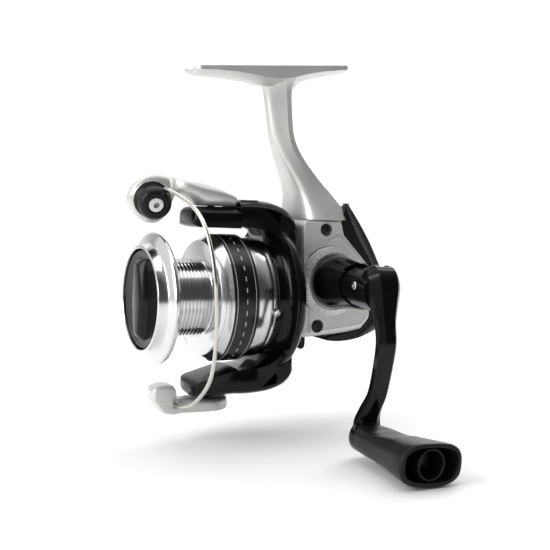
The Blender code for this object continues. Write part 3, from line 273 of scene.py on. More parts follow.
# ---------------------------------------------------------------- materials
class Nodes:
    """A node material being built around its Principled shader."""

    def __init__(self, name, colour, metallic, roughness):
        self.material = bpy.data.materials.new(name)
        self.material.use_nodes = True
        self.tree = self.material.node_tree
        self.shader = self.tree.nodes["Principled BSDF"]
        self.shader.inputs["Base Color"].default_value = (*colour, 1.0)
        self.shader.inputs["Metallic"].default_value = metallic
        self.shader.inputs["Roughness"].default_value = roughness
        self.colour = colour
        self.rough = roughness
        self.place = self.tree.nodes.new("ShaderNodeTexCoord").outputs["Object"]

    def add(self, kind, **values):
        node = self.tree.nodes.new(kind)
        for key, value in values.items():
            setattr(node, key, value)
        return node

    def link(self, a, b):
        self.tree.links.new(a, b)

    def math(self, operation, a, b=None, clamp=False):
        node = self.add("ShaderNodeMath", operation=operation, use_clamp=clamp)
        for i, value in enumerate((a, b)):
            if value is None:
                continue
            if isinstance(value, (int, float)):
                node.inputs[i].default_value = value
            else:
                self.link(value, node.inputs[i])
        return node.outputs[0]

    def noise(self, scale, detail=3.0, rough=0.55, stretch=(1, 1, 1)):
        mapping = self.add("ShaderNodeMapping")
        mapping.inputs["Scale"].default_value = stretch
        self.link(self.place, mapping.inputs["Vector"])
        node = self.add("ShaderNodeTexNoise")
        node.inputs["Scale"].default_value = scale
        node.inputs["Detail"].default_value = detail
        node.inputs["Roughness"].default_value = rough
        self.link(mapping.outputs[0], node.inputs["Vector"])
        return node.outputs["Fac"]

    def spread(self, source, low, high):
        node = self.add("ShaderNodeMapRange")
        node.inputs["From Min"].default_value = 0.3
        node.inputs["From Max"].default_value = 0.7
        node.inputs["To Min"].default_value = low
        node.inputs["To Max"].default_value = high
        self.link(source, node.inputs["Value"])
        return node.outputs[0]

    def mix(self, factor, a, b):
        node = self.add("ShaderNodeMix", data_type="RGBA")
        self.link(factor, node.inputs["Factor"])
        for socket, value in ((node.inputs["A"], a), (node.inputs["B"], b)):
            if isinstance(value, tuple):
                socket.default_value = (*value, 1.0)
            else:
                self.link(value, socket)
        return node.outputs["Result"]

    def bump(self, source, height, strength=1.0):
        node = self.add("ShaderNodeBump")
        node.inputs["Strength"].default_value = strength
        node.inputs["Distance"].default_value = height * MM
        self.link(source, node.inputs["Height"])
        self.link(node.outputs["Normal"], self.shader.inputs["Normal"])
        return node

    def vary(self, colour_shift, rough_shift, scale=180.0):
        """Slight cloudiness of colour and gloss, as handling and casting leave."""
        cloud = self.noise(scale)
        low = tuple(c * (1 - colour_shift) for c in self.colour)
        high = tuple(min(1.0, c * (1 + colour_shift)) for c in self.colour)
        self.link(self.mix(self.spread(cloud, 0.0, 1.0), low, high), self.shader.inputs["Base Color"])
        smear = self.noise(scale * 0.37, 4.0, 0.6)
        self.link(self.spread(smear, self.rough - rough_shift, self.rough + rough_shift),
                  self.shader.inputs["Roughness"])
        return self


def silver_paint():
    n = Nodes("Silver flake paint", (0.60, 0.605, 0.585), 0.55, 0.36)
    flake = n.noise(4200.0, 1.0, 0.5)
    cloud = n.noise(60.0)
    dark = n.mix(n.spread(cloud, 0.0, 1.0), (0.56, 0.565, 0.545), (0.62, 0.625, 0.605))
    light = n.mix(n.spread(cloud, 0.0, 1.0), (0.66, 0.665, 0.645), (0.72, 0.725, 0.70))
    n.link(n.mix(n.spread(flake, 0.0, 1.0), dark, light), n.shader.inputs["Base Color"])
    n.link(n.spread(n.noise(90.0), 0.38, 0.46), n.shader.inputs["Roughness"])
    n.bump(flake, 0.004, 0.5)
    n.shader.inputs["Coat Weight"].default_value = 0.15
    n.shader.inputs["Coat Roughness"].default_value = 0.2
    return n.material


def gloss_black():
    n = Nodes("Gloss black moulding", (0.004, 0.004, 0.0045), 0.0, 0.13).vary(0.25, 0.03, 120.0)
    n.bump(n.noise(260.0, 2.0), 0.010, 0.3)
    n.shader.inputs["Specular IOR Level"].default_value = 0.22
    return n.material


def satin_black():
    n = Nodes("Satin black rubberised grip", (0.006, 0.006, 0.0065), 0.0, 0.36).vary(0.2, 0.06, 90.0)
    n.bump(n.noise(1500.0, 2.0), 0.010, 0.5)
    n.shader.inputs["Specular IOR Level"].default_value = 0.22
    return n.material


def dark_grey():
    n = Nodes("Charcoal moulding", (0.020, 0.022, 0.025), 0.0, 0.26).vary(0.15, 0.04, 140.0)
    n.bump(n.noise(900.0, 2.0), 0.006, 0.4)
    n.shader.inputs["Coat Weight"].default_value = 0.2
    n.shader.inputs["Coat Roughness"].default_value = 0.1
    return n.material


def turned_metal(name, colour, rough, axis="Y", pitch=9000.0):
    """Metal with fine lathe rings across its axis, which lies along Y through x = 0."""
    n = Nodes(name, colour, 1.0, rough)
    stretch = {"X": (pitch, 30, 30), "Y": (30, pitch, 30), "Z": (30, 30, pitch)}[axis]
    rings = n.noise(1.0, 2.0, 0.5, stretch)
    low = tuple(c * 0.94 for c in colour)
    n.link(n.mix(n.spread(rings, 0.0, 1.0), low, colour), n.shader.inputs["Base Color"])
    n.link(n.spread(rings, rough * 0.75, rough * 1.3), n.shader.inputs["Roughness"])
    n.bump(rings, 0.0025, 0.5)
    return n


def anodised_band():
    """Black anodising with two silver pinstripes and a row of plain dashes."""
    n = Nodes("Black anodised band", (0.006, 0.006, 0.0065), 0.1, 0.24)
    split = n.add("ShaderNodeSeparateXYZ")
    n.link(n.place, split.inputs[0])
    x, y, z = split.outputs

    def stripe(at, half):
        return n.math("LESS_THAN", n.math("ABSOLUTE", n.math("SUBTRACT", y, (at - SADDLE_Y) * MM)),
                      half * MM)

    angle = n.math("ARCTAN2", n.math("ADD", z, SADDLE_Z * MM), x)
    dash = n.math("FRACT", n.math("MULTIPLY", n.math("ADD", angle, 4 * PI), 36 / (2 * PI)))
    dashes = n.math("MULTIPLY", n.math("LESS_THAN", dash, 0.42), stripe(24.9, 0.16))
    lines = n.math("ADD", n.math("ADD", stripe(21.5, 0.1), stripe(28.1, 0.1)), dashes, clamp=True)
    grain = n.spread(n.noise(700.0), 0.0, 1.0)
    black = n.mix(grain, (0.004, 0.004, 0.0045), (0.008, 0.008, 0.0085))
    n.link(n.mix(lines, black, (0.52, 0.53, 0.53)), n.shader.inputs["Base Color"])
    n.link(n.spread(n.noise(160.0), 0.2, 0.3), n.shader.inputs["Roughness"])
    n.bump(n.noise(1200.0), 0.004, 0.3)
    return n.material


def ring_scale():
    """Silver paint on the bezel with a ring of faint graduation ticks and a fine dark line that is painted
    shade in a seam groove.
    """
    n = Nodes("Silver bezel with ticks", (0.62, 0.625, 0.61), 0.5, 0.34)
    split = n.add("ShaderNodeSeparateXYZ")
    n.link(n.place, split.inputs[0])
    x, y, z = split.outputs
    dy = n.math("SUBTRACT", y, (CRANK_Y - SADDLE_Y) * MM)
    dz = n.math("SUBTRACT", z, (CRANK_Z - SADDLE_Z) * MM)
    radius = n.math("SQRT", n.math("ADD", n.math("MULTIPLY", dy, dy), n.math("MULTIPLY", dz, dz)))
    angle = n.math("ARCTAN2", dz, dy)
    part = n.math("FRACT", n.math("MULTIPLY", n.math("ADD", angle, 4 * PI), 30 / (2 * PI)))
    tick = n.math("LESS_THAN", part, 0.09)
    zone = n.math("MULTIPLY", n.math("GREATER_THAN", radius, 10.15 * MM),
                  n.math("LESS_THAN", radius, 11.15 * MM))
    # Painted shade: a fine dark ring standing for the shadow in the bezel's seam groove.
    line = n.math("LESS_THAN", n.math("ABSOLUTE", n.math("SUBTRACT", radius, 11.45 * MM)), 0.08 * MM)
    ticks_and_groove_shade = n.math("ADD", n.math("MULTIPLY", tick, zone), line, clamp=True)
    flake = n.spread(n.noise(4200.0, 1.0), 0.0, 1.0)
    silver = n.mix(flake, (0.57, 0.575, 0.56), (0.69, 0.695, 0.68))
    n.link(n.mix(n.math("MULTIPLY", ticks_and_groove_shade, 0.75), silver, (0.12, 0.12, 0.12)), n.shader.inputs["Base Color"])
    n.link(n.spread(n.noise(90.0), 0.3, 0.38), n.shader.inputs["Roughness"])
    n.bump(n.noise(4200.0, 1.0), 0.004, 0.4)
    n.shader.inputs["Coat Weight"].default_value = 0.3
    n.shader.inputs["Coat Roughness"].default_value = 0.15
    return n.material


def plain(name, colour, metallic, rough, scale=200.0, grain=1400.0, depth=0.006):
    n = Nodes(name, colour, metallic, rough).vary(0.1, rough * 0.18, scale)
    n.bump(n.noise(grain, 2.0), depth, 0.4)
    return n.material


LOOKS = {
    "silver_paint": silver_paint(),
    "gloss_black": gloss_black(),
    "satin_black": satin_black(),
    "dark_grey": dark_grey(),
    "turned_aluminium": turned_metal("Polished turned aluminium", (0.74, 0.74, 0.745), 0.15).material,
    "steel": turned_metal("Bright steel", (0.62, 0.61, 0.60), 0.24, "Y", 5000.0).material,
    "black_screw": plain("Black oxide steel", (0.035, 0.035, 0.038), 0.85, 0.38),
    "brass": plain("Machined brass", (0.70, 0.52, 0.23), 1.0, 0.3),
    "zinc": plain("Die-cast zinc", (0.50, 0.51, 0.52), 1.0, 0.46, 260.0, 700.0, 0.015),
    "nylon": plain("Natural nylon", (0.72, 0.70, 0.64), 0.0, 0.5),
    "felt": plain("Pressed felt", (0.30, 0.28, 0.25), 0.0, 0.95, 500.0, 2600.0, 0.08),
}
BAND = anodised_band()
SCALE = ring_scale()
WIRE = turned_metal("Polished wire", (0.66, 0.64, 0.60), 0.2, "Y", 300.0).material


# ---------------------------------------------------------------- pieces
def raw(name, mesh, matrix):
    """Put a shape into the scene in its place."""
    mesh.transform(matrix)
    bmesh.ops.scale(mesh, vec=(MM, MM, MM), verts=mesh.verts)
    bmesh.ops.recalc_face_normals(mesh, faces=mesh.faces)
    data = bpy.data.meshes.new(name)
    mesh.to_mesh(data)
    mesh.free()
    made = bpy.data.objects.new(name, data)
    bpy.context.scene.collection.objects.link(made)
    return made


def bake(made):
    """Apply a piece's modifiers."""
    bpy.context.view_layer.update()
    graph = bpy.context.evaluated_depsgraph_get()
    done = bpy.data.meshes.new_from_object(made.evaluated_get(graph))
    old = made.data
    made.modifiers.clear()
    made.data = done
    bpy.data.meshes.remove(old)


def piece(name, mesh, look, body, nodes, matrix=REEL, join=(), cut=(), edge=0.25, sharp=32.0,
          segments=3, extra=None):
    """A finished visual piece: a shape with other shapes joined and cut, then its edges softened.

    Its material slot holds its look; extra adds a second slot for the faces that pass a test.
    """
    made = raw(name, mesh, matrix)
    helpers = []
    for operation, shapes in (("UNION", join), ("DIFFERENCE", cut)):
        for shape in shapes:
            helper = raw("helper", shape, matrix)
            step = made.modifiers.new("step", "BOOLEAN")
            step.operation = operation
            step.solver = "EXACT"
            step.object = helper
            helpers.append(helper)
    if helpers:
        bake(made)
        for helper in helpers:
            data = helper.data
            bpy.data.objects.remove(helper)
            bpy.data.meshes.remove(data)
    work = bmesh.new()
    work.from_mesh(made.data)
    bmesh.ops.remove_doubles(work, verts=work.verts, dist=2e-6)
    bmesh.ops.dissolve_degenerate(work, edges=work.edges, dist=2e-6)
    limit = math.radians(sharp)
    for face in work.faces:
        face.smooth = True
    for crease in work.edges:
        crease.smooth = not (len(crease.link_faces) == 2 and crease.calc_face_angle(0) > limit)
    work.to_mesh(made.data)
    work.free()
    if edge:
        soften = made.modifiers.new("soft edges", "BEVEL")
        soften.width = edge * MM
        soften.segments = segments
        soften.limit_method = "ANGLE"
        soften.angle_limit = limit
        soften.harden_normals = True
        soften.use_clamp_overlap = True
        bake(made)
    made.data.materials.clear()
    made.data.materials.append(LOOKS[look] if isinstance(look, str) else look)
    if extra:
        extra_look, test = extra
        made.data.materials.append(extra_look)
        for polygon in made.data.polygons:
            if test(polygon.center / MM - REEL.translation):
                polygon.material_index = 1
    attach(made, body)
    if nodes:
        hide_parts(*nodes)
    return made


def mirrored(half):
    """Close a half section by its mirror image across x = 0; half runs from front to back."""
    return half + [(-a, b) for a, b in reversed(half[1:-1])]


def bezier(a, b, c, d, parts):
    out = []
    for i in range(parts + 1):
        t = i / parts
        out.append(a * (1 - t) ** 3 + b * 3 * t * (1 - t) ** 2 + c * 3 * t * t * (1 - t) + d * t ** 3)
    return out


# ---------------------------------------------------------------- body: foot, stem, housing
FOOT_LENGTH = 57.6
FOOT_HALF = 6.7
FOOT_TILT = math.radians(4.33)
FOOT_RIM_Z = 78.9
SADDLE_DEPTH = 1.5


def foot_section(s, half, drop, edge, keel):
    """Cross-section of the foot at a distance from the toe; edge is the height of its side face."""
    scale = half / FOOT_HALF
    top = [(0.0, -SADDLE_DEPTH * scale)]
    for share in (0.3, 0.5, 0.68, 0.84, 0.94):
        top.append((half * share, -SADDLE_DEPTH * scale * (1 - share ** 2.2)))
    top.append((half, -0.12))
    side = [(half, -edge)]
    under = [(half * 0.8, -edge - (drop - edge) * 0.34), (half * 0.55, -edge - (drop - edge) * 0.66),
             (half * keel, -edge - (drop - edge) * 0.92), (0.0, -drop)]
    loop = top + side + under
    loop = loop + [(-a, b) for a, b in reversed(loop[1:-1])]
    along = vec(0, math.cos(FOOT_TILT), math.sin(FOOT_TILT))
    up = vec(0, -math.sin(FOOT_TILT), math.cos(FOOT_TILT))
    middle = vec(0, SADDLE_Y, FOOT_RIM_Z)
    reach = s - FOOT_LENGTH / 2
    return [middle + along * reach + up * b + vec(a, 0, 0) for a, b in loop]


foot = loft([
    foot_section(0.0, 5.2, 2.0, 1.0, 0.3), foot_section(0.35, 5.9, 2.5, 1.2, 0.3),
    foot_section(1.1, 6.5, 2.8, 1.3, 0.3), foot_section(2.4, 6.7, 3.0, 1.35, 0.3),
    foot_section(8.0, 6.7, 3.5, 1.6, 0.3), foot_section(14.0, 6.7, 4.3, 2.1, 0.3),
    foot_section(20.0, 6.7, 5.3, 3.0, 0.3), foot_section(25.0, 6.6, 6.6, 4.0, 0.4),
    foot_section(30.0, 6.6, 7.2, 4.6, 0.5), foot_section(35.0, 6.6, 6.8, 4.2, 0.4),
    foot_section(40.0, 6.7, 5.3, 3.1, 0.3), foot_section(46.0, 6.7, 4.1, 2.2, 0.3),
    foot_section(52.0, 6.7, 3.2, 1.8, 0.3), foot_section(55.4, 6.7, 2.8, 1.6, 0.3),
    foot_section(56.6, 6.4, 2.6, 1.5, 0.3), foot_section(57.3, 5.8, 2.3, 1.3, 0.3),
    foot_section(FOOT_LENGTH, 5.2, 1.9, 1.0, 0.3),
])


def stem_section(z, front, corner, ridge, back_ridge, back_corner, back, lean=0.0):
    """A level section of the stem. Each (x, y) corner steers the surface; the ridges are creases."""
    a, b = Vector((0, front)), Vector(ridge)
    face = bezier(a, Vector((corner[0], front)), Vector((corner[0] * 1.05, corner[1] + 0.6)), b, 9)
    c, d = Vector(back_ridge), Vector((0, back))
    rear = bezier(c, Vector(back_corner), Vector((back_corner[0], back)), d, 6)
    loop = mirrored([(p.x, p.y) for p in face + rear])
    return [vec(p, q, z - (q - (front + back) / 2) * lean) for p, q in loop]


STEM = [
    (76.6, 31.0, (4.6, 32.0), (6.5, 43.0), (6.5, 50.0), (4.0, 56.5), 58.5),
    (75.4, 34.4, (3.6, 35.6), (6.2, 44.4), (6.1, 48.8), (3.4, 53.2), 54.6),
    (73.6, 37.4, (2.9, 38.6), (5.7, 45.1), (5.5, 47.8), (2.8, 50.6), 51.4),
    (70.4, 39.3, (2.4, 40.4), (5.25, 45.4), (5.0, 47.4), (2.4, 49.3), 49.6),
    (62.0, 40.8, (2.4, 41.8), (5.2, 46.1), (4.9, 48.0), (2.3, 49.8), 50.1),
    (56.0, 41.9, (2.8, 42.8), (5.2, 46.8), (4.9, 48.9), (2.3, 51.2), 51.6),
    (52.0, 43.2, (3.4, 43.9), (5.5, 48.0), (5.2, 50.3), (2.5, 53.2), 53.6),
    (48.0, 44.8, (4.3, 45.4), (6.1, 50.0), (5.9, 52.4), (2.8, 56.6), 57.0),
    (44.0, 46.9, (5.7, 47.4), (7.1, 53.0), (7.0, 55.2), (3.4, 60.4), 60.8),
    (40.0, 48.9, (7.2, 49.3), (8.4, 56.4), (8.3, 58.2), (4.4, 64.2), 64.6),
    (36.0, 50.4, (8.9, 50.8), (10.0, 60.0), (9.9, 61.6), (6.0, 67.0), 67.4),
    (31.5, 51.2, (11.2, 51.4), (12.2, 63.2), (12.2, 64.4), (8.4, 68.8), 69.2),
    (27.3, 51.2, (13.4, 51.2), (14.1, 63.3), (14.1, 64.2), (11.0, 69.0), 69.4),
]
stem = loft(smooth_rings([stem_section(*row) for row in STEM], 4))
lower_stem = loft([stem_section(27.4, 51.2, (11.4, 51.2), (12.2, 66.0), (12.2, 66.8), (9.6, 69.2), 69.4),
                   stem_section(14.0, 51.2, (11.4, 51.2), (12.2, 66.0), (12.2, 66.8), (9.6, 69.2), 69.4)])

HOUSE_FRONT = 49.2
HOUSE_HALF = 12.4
NOSE_R = 13.3
NOSE_FRONT = 36.0
OSC_Z = 1.3
OSC_Y = CRANK_Y + math.sqrt(10.8 ** 2 - (CRANK_Z - OSC_Z) ** 2)
SLIDER_ROOM_END = OSC_Y + 7.5
HOUSE_OUTLINE = [
    (49.2, 25.0), (50.6, 27.0), (67.4, 27.4), (71.0, 23.5), (76.5, 16.5), (79.4, 9.0),
    (79.6, -5.0), (77.0, -9.8), (72.0, -11.6), (50.6, -13.2), (49.2, -11.5),
]
house = rounded(HOUSE_OUTLINE, 2.4, 4)
HOUSE_MIDDLE = Vector((64.0, 6.0))


def pulled(outline, amount, middle=HOUSE_MIDDLE):
    """Pull an outline towards a middle point by a length."""
    out = []
    for point in outline:
        reach = Vector(point) - middle
        at = middle + reach * ((reach.length - amount) / reach.length)
        out.append((at.x, at.y))
    return out


house_rings = []
for i in range(8):
    a = PI / 2 * i / 7
    house_rings.append([vec(-HOUSE_HALF - 0.8 + 4.4 * (1 - math.cos(a)), p, q)
                        for p, q in pulled(house, 4.8 * (1 - math.sin(a)))])
house_rings.append([vec(HOUSE_HALF, p, q) for p, q in house])
housing = loft(house_rings)
nose = lathe([(0, NOSE_FRONT), (NOSE_R, NOSE_FRONT), (NOSE_R, HOUSE_FRONT - 0.1),
              (NOSE_R - 1.4, HOUSE_FRONT + 1.0), (0, HOUSE_FRONT + 1.0)])
boss = moved(along_x(rod(8.4, -14.6, -8.0)), y=CRANK_Y, z=CRANK_Z)


def at_crank(mesh):
    return moved(along_x(mesh), y=CRANK_Y, z=CRANK_Z)


COVER_X = 12.7
SCREWS = {"cover_screw_top": (57.9, 24.0), "cover_screw_low": (55.3, -9.2), "cover_screw_rear": (73.4, 10.2)}
body_cuts = [
    at_crank(rod(12.2, -6.0, 14.4, 64)), at_crank(rod(8.6, -8.8, -5.0)),
    moved(along_x(rod(8.5, -8.8, 14.4)), y=OSC_Y - 0.2, z=OSC_Z),
    box(-6.0, 14.4, 56.0, SLIDER_ROOM_END, -7.2, 9.0), rod(3.0, 76.0, 78.3),
    lathe([(0, 34.0), (11.9, 34.0), (11.9, 41.6), (6.9, 41.6), (6.9, 44.8), (4.2, 44.8), (4.2, 57.0),
           (0, 57.0)]),
    at_crank(lathe([(0, -16.0), (3.4, -16.0), (3.4, -12.6), (5.4, -12.6), (5.4, -8.0), (0, -8.0)])),
    moved(along_z(rod(1.4, -6.0, 4.0, 24)), y=54.2, z=-13.4),
    moved(rod(0.95, 52.8, 78.3, 24), x=0, z=-5.4), moved(rod(1.05, 78.2, 82.0, 24), z=-1.0),
]
body_cuts += [moved(along_x(rod(1.05, 6.0, 15.0, 24)), y=y, z=z) for y, z in SCREWS.values()]
piece("reel_body", housing, "silver_paint", "body", ["body_frame"],
      join=[foot, stem, lower_stem, nose, boss], cut=body_cuts, edge=0.2, sharp=26, segments=2)

# ---------------------------------------------------------------- side cover, bezel, rear cover
COVER_OUTLINE = [
    (49.4, 26.7), (63.8, 26.9), (65.2, 21.8), (76.3, 10.7), (76.5, -7.0), (73.5, -10.4), (49.4, -12.9),
]
PANEL = [(49.5, 16.2), (62.2, 22.9), (64.6, 21.9), (76.2, 10.6), (76.4, -6.9), (73.4, -10.3),
         (49.5, -12.8)]
cover_mesh = loft([[vec(x, a, b) for a, b in rounded(inset(COVER_OUTLINE, by), 1.0, 4)]
                   for x, by in ((COVER_X, 0.0), (13.35, 0.0), (13.55, 0.08), (13.7, 0.3))])
panel_mesh = loft([[vec(x, a, b) for a, b in rounded(inset(PANEL, by), 0.8, 4)]
                   for x, by in ((13.0, 0.05), (13.72, 0.1), (14.2, 0.95), (14.26, 1.15), (14.24, 1.5),
                                 (14.2, 1.6))])


def cover_cuts():
    """The bearing seat, the shaft hole and the countersunk screw holes through the cover."""
    cuts = [at_crank(lathe([(0, 8.0), (5.9, 8.0), (5.9, 12.5), (4.2, 12.5), (4.2, 18.0), (0, 18.0)]))]
    for y, z in SCREWS.values():
        room = [(0, 10.0), (1.05, 10.0), (1.05, COVER_X + 0.3), (2.15, COVER_X + 0.3), (2.15, 13.0),
                (2.3, 13.6), (2.6, 17.0), (0, 17.0)]
        cuts.append(moved(along_x(lathe(room, 48)), y=y, z=z))
    return cuts


piece("side_cover_plate", cover_mesh, "silver_paint", "body", ["side_cover"],
      join=[at_crank(rod(7.0, 9.2, 13.6)), moved(along_x(rod(1.0, 5.6, 13.2, 24)), y=OSC_Y, z=OSC_Z)],
      cut=cover_cuts(), edge=0.12, sharp=25, segments=2)
piece("side_cover_panel", panel_mesh, "silver_paint", "body", [], cut=cover_cuts(), edge=0.06,
      sharp=20, segments=2)


def pan_head(radius, height, shank_r, length):
    """A domed pan head about Y with its outer face at y = 0, its shank towards +Y."""
    profile = [(0, 0.02), (radius * 0.55, 0.05), (radius * 0.85, 0.2), (radius, height * 0.6),
               (radius, height), (shank_r, height), (shank_r, length), (0, length)]
    return lathe(profile, 40)


def star(drive, depth):
    """The six-lobed socket of a screw, along Y."""
    points = []
    for i in range(24):
        a = 2 * PI * i / 24
        r = drive * (0.84 + 0.16 * math.cos(6 * a))
        points.append((r * math.cos(a), r * math.sin(a)))
    return prism(points, -0.6, depth, "Y")


for name, (y, z) in SCREWS.items():
    where = REEL @ shift(13.85, y, z) @ Matrix.Rotation(PI / 2, 4, "Z")
    piece(name + "_head", pan_head(1.95, 0.7, 0.8, 6.0), "black_screw", "body", [name],
          where, cut=[star(1.1, 0.5)], edge=0.06)

bezel_profile = [(4.8, 14.6), (11.6, 14.6), (12.0, 14.75), (12.0, 15.05), (11.7, 15.25),
                 (10.0, 16.75), (9.8, 16.8), (9.6, 16.55), (4.8, 16.55)]
piece("bearing_bezel_ring", along_x(lathe(bezel_profile, 160)), SCALE, "body",
      ["bearing_bezel"], REEL @ shift(0, CRANK_Y, CRANK_Z), edge=0.05)

REAR_OUTLINE = [
    (68.4, 33.0), (70.8, 29.8), (74.0, 25.4), (77.9, 19.6), (81.6, 13.2), (84.8, 6.0), (86.2, -2.0),
    (85.6, -8.4), (81.0, -12.6), (74.0, -14.8), (65.5, -15.3), (59.5, -14.4),
]
REAR_INNER = [
    (59.5, -12.95), (72.3, -12.1), (77.3, -10.2), (79.95, -5.2), (79.75, 9.2), (76.9, 16.7),
    (71.3, 23.8), (69.4, 27.6), (68.2, 30.6),
]
outer = [(p.x, p.y) for p in spline(REAR_OUTLINE, 3)]


def rear_width(z):
    """The rear cover narrows towards its top, where it runs up behind the stem."""
    return 1.0 - 0.008 * max(0.0, z - 18.0)


FLANK_LINE = [(p.x, p.y) for p in spline(
    [(66.4, 33.2), (69.4, 29.4), (73.0, 24.4), (76.7, 18.6), (79.9, 12.2), (82.6, 5.6), (83.7, -1.8),
     (82.2, -7.6), (78.6, -11.6), (73.0, -14.2), (65.5, -15.1), (59.8, -14.6)], 3)]
FLANK_INNER = [(59.8, -13.5), (73.9, -10.9), (76.9, -7.2), (76.7, 10.9), (65.6, 22.2), (64.4, 27.4)]
FLANK_SPLIT = [(p.x, p.y) for p in spline(
    [(73.0, -12.8), (78.2, -8.4), (79.6, -2.0), (78.9, 6.0), (76.6, 12.6), (72.6, 18.6), (69.2, 24.4),
     (66.2, 31.0)], 3)]
# Painted light and shade on the rear cover's side face: its upper rear rim is dark grey where light falls on
# it, and the rest of the flank is gloss black where it lies in shade, both standing for one moulding.
LIT_GREY_PART = [p for p in FLANK_LINE if p[0] > 66.3 and not (p[1] < -14.2 and p[0] < 72.0)]
flank = loft([[vec(x, a, b) for a, b in rounded(inset(FLANK_LINE + FLANK_INNER, by), 0.4, 2)]
              for x, by in ((10.2, 0.0), (12.6, 0.0), (12.8, 0.15))])
lit_rim_top = loft([[vec(x, a, b) for a, b in inset(LIT_GREY_PART + FLANK_SPLIT, by)]
                  for x, by in ((10.4, 0.05), (12.9, 0.05), (13.1, 0.12), (13.2, 0.3))])



def rear_ring(x, share, tuck):
    """A slice of the rear cover, its outer line drawn in by share and its inner line widened by tuck."""
    middle = Vector((68.0, 8.0))
    line = [outer[0]] + pulled(outer[1:-1], share, middle) + [outer[-1]]
    inner = [REAR_INNER[0]] + pulled(REAR_INNER[1:-1], -tuck, middle) + [REAR_INNER[-1]]
    return [vec(x * rear_width(b), a, b) for a, b in line + inner]


rear_rings = [rear_ring(-12.0 + 3.4 * (1 - math.cos(PI / 2 * i / 5)), 2.6 * (1 - math.sin(PI / 2 * i / 5)),
                        0.25 * (1 - i / 5)) for i in range(6)]
rear_rings += [rear_ring(12.0 - 3.4 * (1 - math.cos(PI / 2 * i / 5)), 2.6 * (1 - math.sin(PI / 2 * i / 5)),
                         0.25 * (1 - i / 5)) for i in range(5, -1, -1)]
piece("rear_cover_shell", loft(rear_rings), "dark_grey", "body", ["rear_cover"],
      cut=[moved(lathe([(0, 73.0), (1.05, 73.0), (1.05, 84.4), (2.3, 84.4), (2.3, 90.0),
                        (0, 90.0)], 48), z=-1.0)], edge=0.3, sharp=38)
# Painted shade: the flank is gloss black for the side in shade, and the rim laid over it is dark grey for its
# lit part.
piece("rear_cover_shaded_flank", flank, "gloss_black", "body", [], edge=0.1, sharp=38)
piece("rear_cover_lit_rim", lit_rim_top, "dark_grey", "body", [], edge=0.1, sharp=38)
where = REEL @ shift(0, 86.2, -1.0) @ Matrix.Rotation(PI, 4, "Z")
piece("rear_cover_screw_head", pan_head(1.95, 1.2, 0.8, 7.4), "black_screw", "body",
      ["rear_cover_screw"], where, cut=[star(1.05, 0.8)], edge=0.06)

lever_loop = rounded([(-3.4, 0.0), (2.6, 0.0), (3.1, -2.2), (2.9, -5.0), (1.4, -5.9), (-0.2, -4.4),
                      (-1.6, -2.6), (-3.3, -2.2)], 0.9, 4)
piece("stop_lever", prism(lever_loop, -2.6, 2.6, "X"), "satin_black", "lever",
      ["anti_reverse_lever"], REEL @ shift(0, 54.2, -13.4),
      join=[along_z(rod(1.1, -1.0, 3.2, 32))], edge=0.4)

# ---------------------------------------------------------------- crank
piece("crank_cap_left", along_x(lathe([(0, -14.9), (7.4, -14.9), (7.4, -16.3), (7.1, -16.9),
                                       (6.2, -17.6), (4.4, -18.0), (0, -18.1)])),
      "gloss_black", "crank", ["crank_cap"], CRANK,
      join=[along_x(rod(1.4, -16.0, -10.4, 32))],
      cut=[along_x(moved(box(-4.4, 4.4, -19.0, -17.0, -0.6, 0.6)))], edge=0.2)

COLLAR = [(0, 17.4), (8.7, 17.4), (9.1, 17.6), (9.2, 18.0), (9.15, 19.4), (8.9, 21.6), (8.5, 24.0),
          (8.05, 27.0), (7.7, 30.0), (7.5, 32.4), (7.42, 34.9), (7.22, 35.1), (7.22, 35.5),
          (7.36, 35.7), (7.2, 36.6), (6.8, 38.2), (6.6, 38.4), (0, 38.4)]


def about_fold(mesh):
    return moved(mesh, x=FOLD_X, z=FOLD_Z)


ELBOW_ROOM = [(-10.4, 2.2), (-9.5, 4.8), (-7.9, 7.2), (-6.0, 9.0), (-3.0, 9.5), (-3.0, 2.2)]
tongue_loop = [(31.0, -4.6), (FOLD_X, -4.6), (FOLD_X + 3.6, -3.0), (FOLD_X + 5.2, 0.0),
               (FOLD_X + 5.2, 1.6), (FOLD_X + 3.6, 4.6), (FOLD_X, 6.2), (31.0, 5.4)]


def knuckle_ring(y):
    """A slice of the arm's knuckle, round about the fold axis behind and flush with the collar."""
    half = math.sqrt(6.95 ** 2 - y ** 2)
    points = []
    for i in range(25):
        z = -FOLD_Z + half * math.cos(PI * i / 24)
        points.append(vec(-math.sqrt(8.2 ** 2 - z ** 2), y, z))
    return points + [vec(6.0, y, -FOLD_Z - half), vec(6.0, y, -FOLD_Z + half * 0.72),
                     vec(2.0, y, -FOLD_Z + half * 0.97)]


knuckle = loft([knuckle_ring(6.85 * math.sin(PI / 2 * i / 9)) for i in range(-9, 10)])
piece("crank_collar_body", along_x(lathe(COLLAR)), "gloss_black", "crank", ["crank_collar"],
      CRANK, join=[along_x(rod(1.8, 9.6, 18.4, 6))],
      cut=[about_fold(prism(ELBOW_ROOM, -5.7, 5.7, "Y")), about_fold(rod(8.5, -12.0, 12.0, 96))],
      edge=0.2)
piece("crank_tongue", prism(tongue_loop, -1.8, 1.8, "Y"), "gloss_black", "crank", [], CRANK,
      cut=[about_fold(rod(1.62, -3.0, 3.0, 32))], edge=0.2)


def arm_section(x, z, half_w, half_t, dx, dz):
    """A bevelled section of the arm across the direction (dx, dz)."""
    span = math.hypot(dx, dz)
    nx, nz = -dz / span, dx / span
    cut_w, cut_t = half_w * 0.58, half_t * 0.42
    loop = [(-half_w, -cut_t), (-cut_w, -half_t), (cut_w, -half_t), (half_w, -cut_t),
            (half_w, cut_t), (cut_w, half_t), (-cut_w, half_t), (-half_w, cut_t)]
    return [vec(x + nx * t, w, z + nz * t) for w, t in loop]


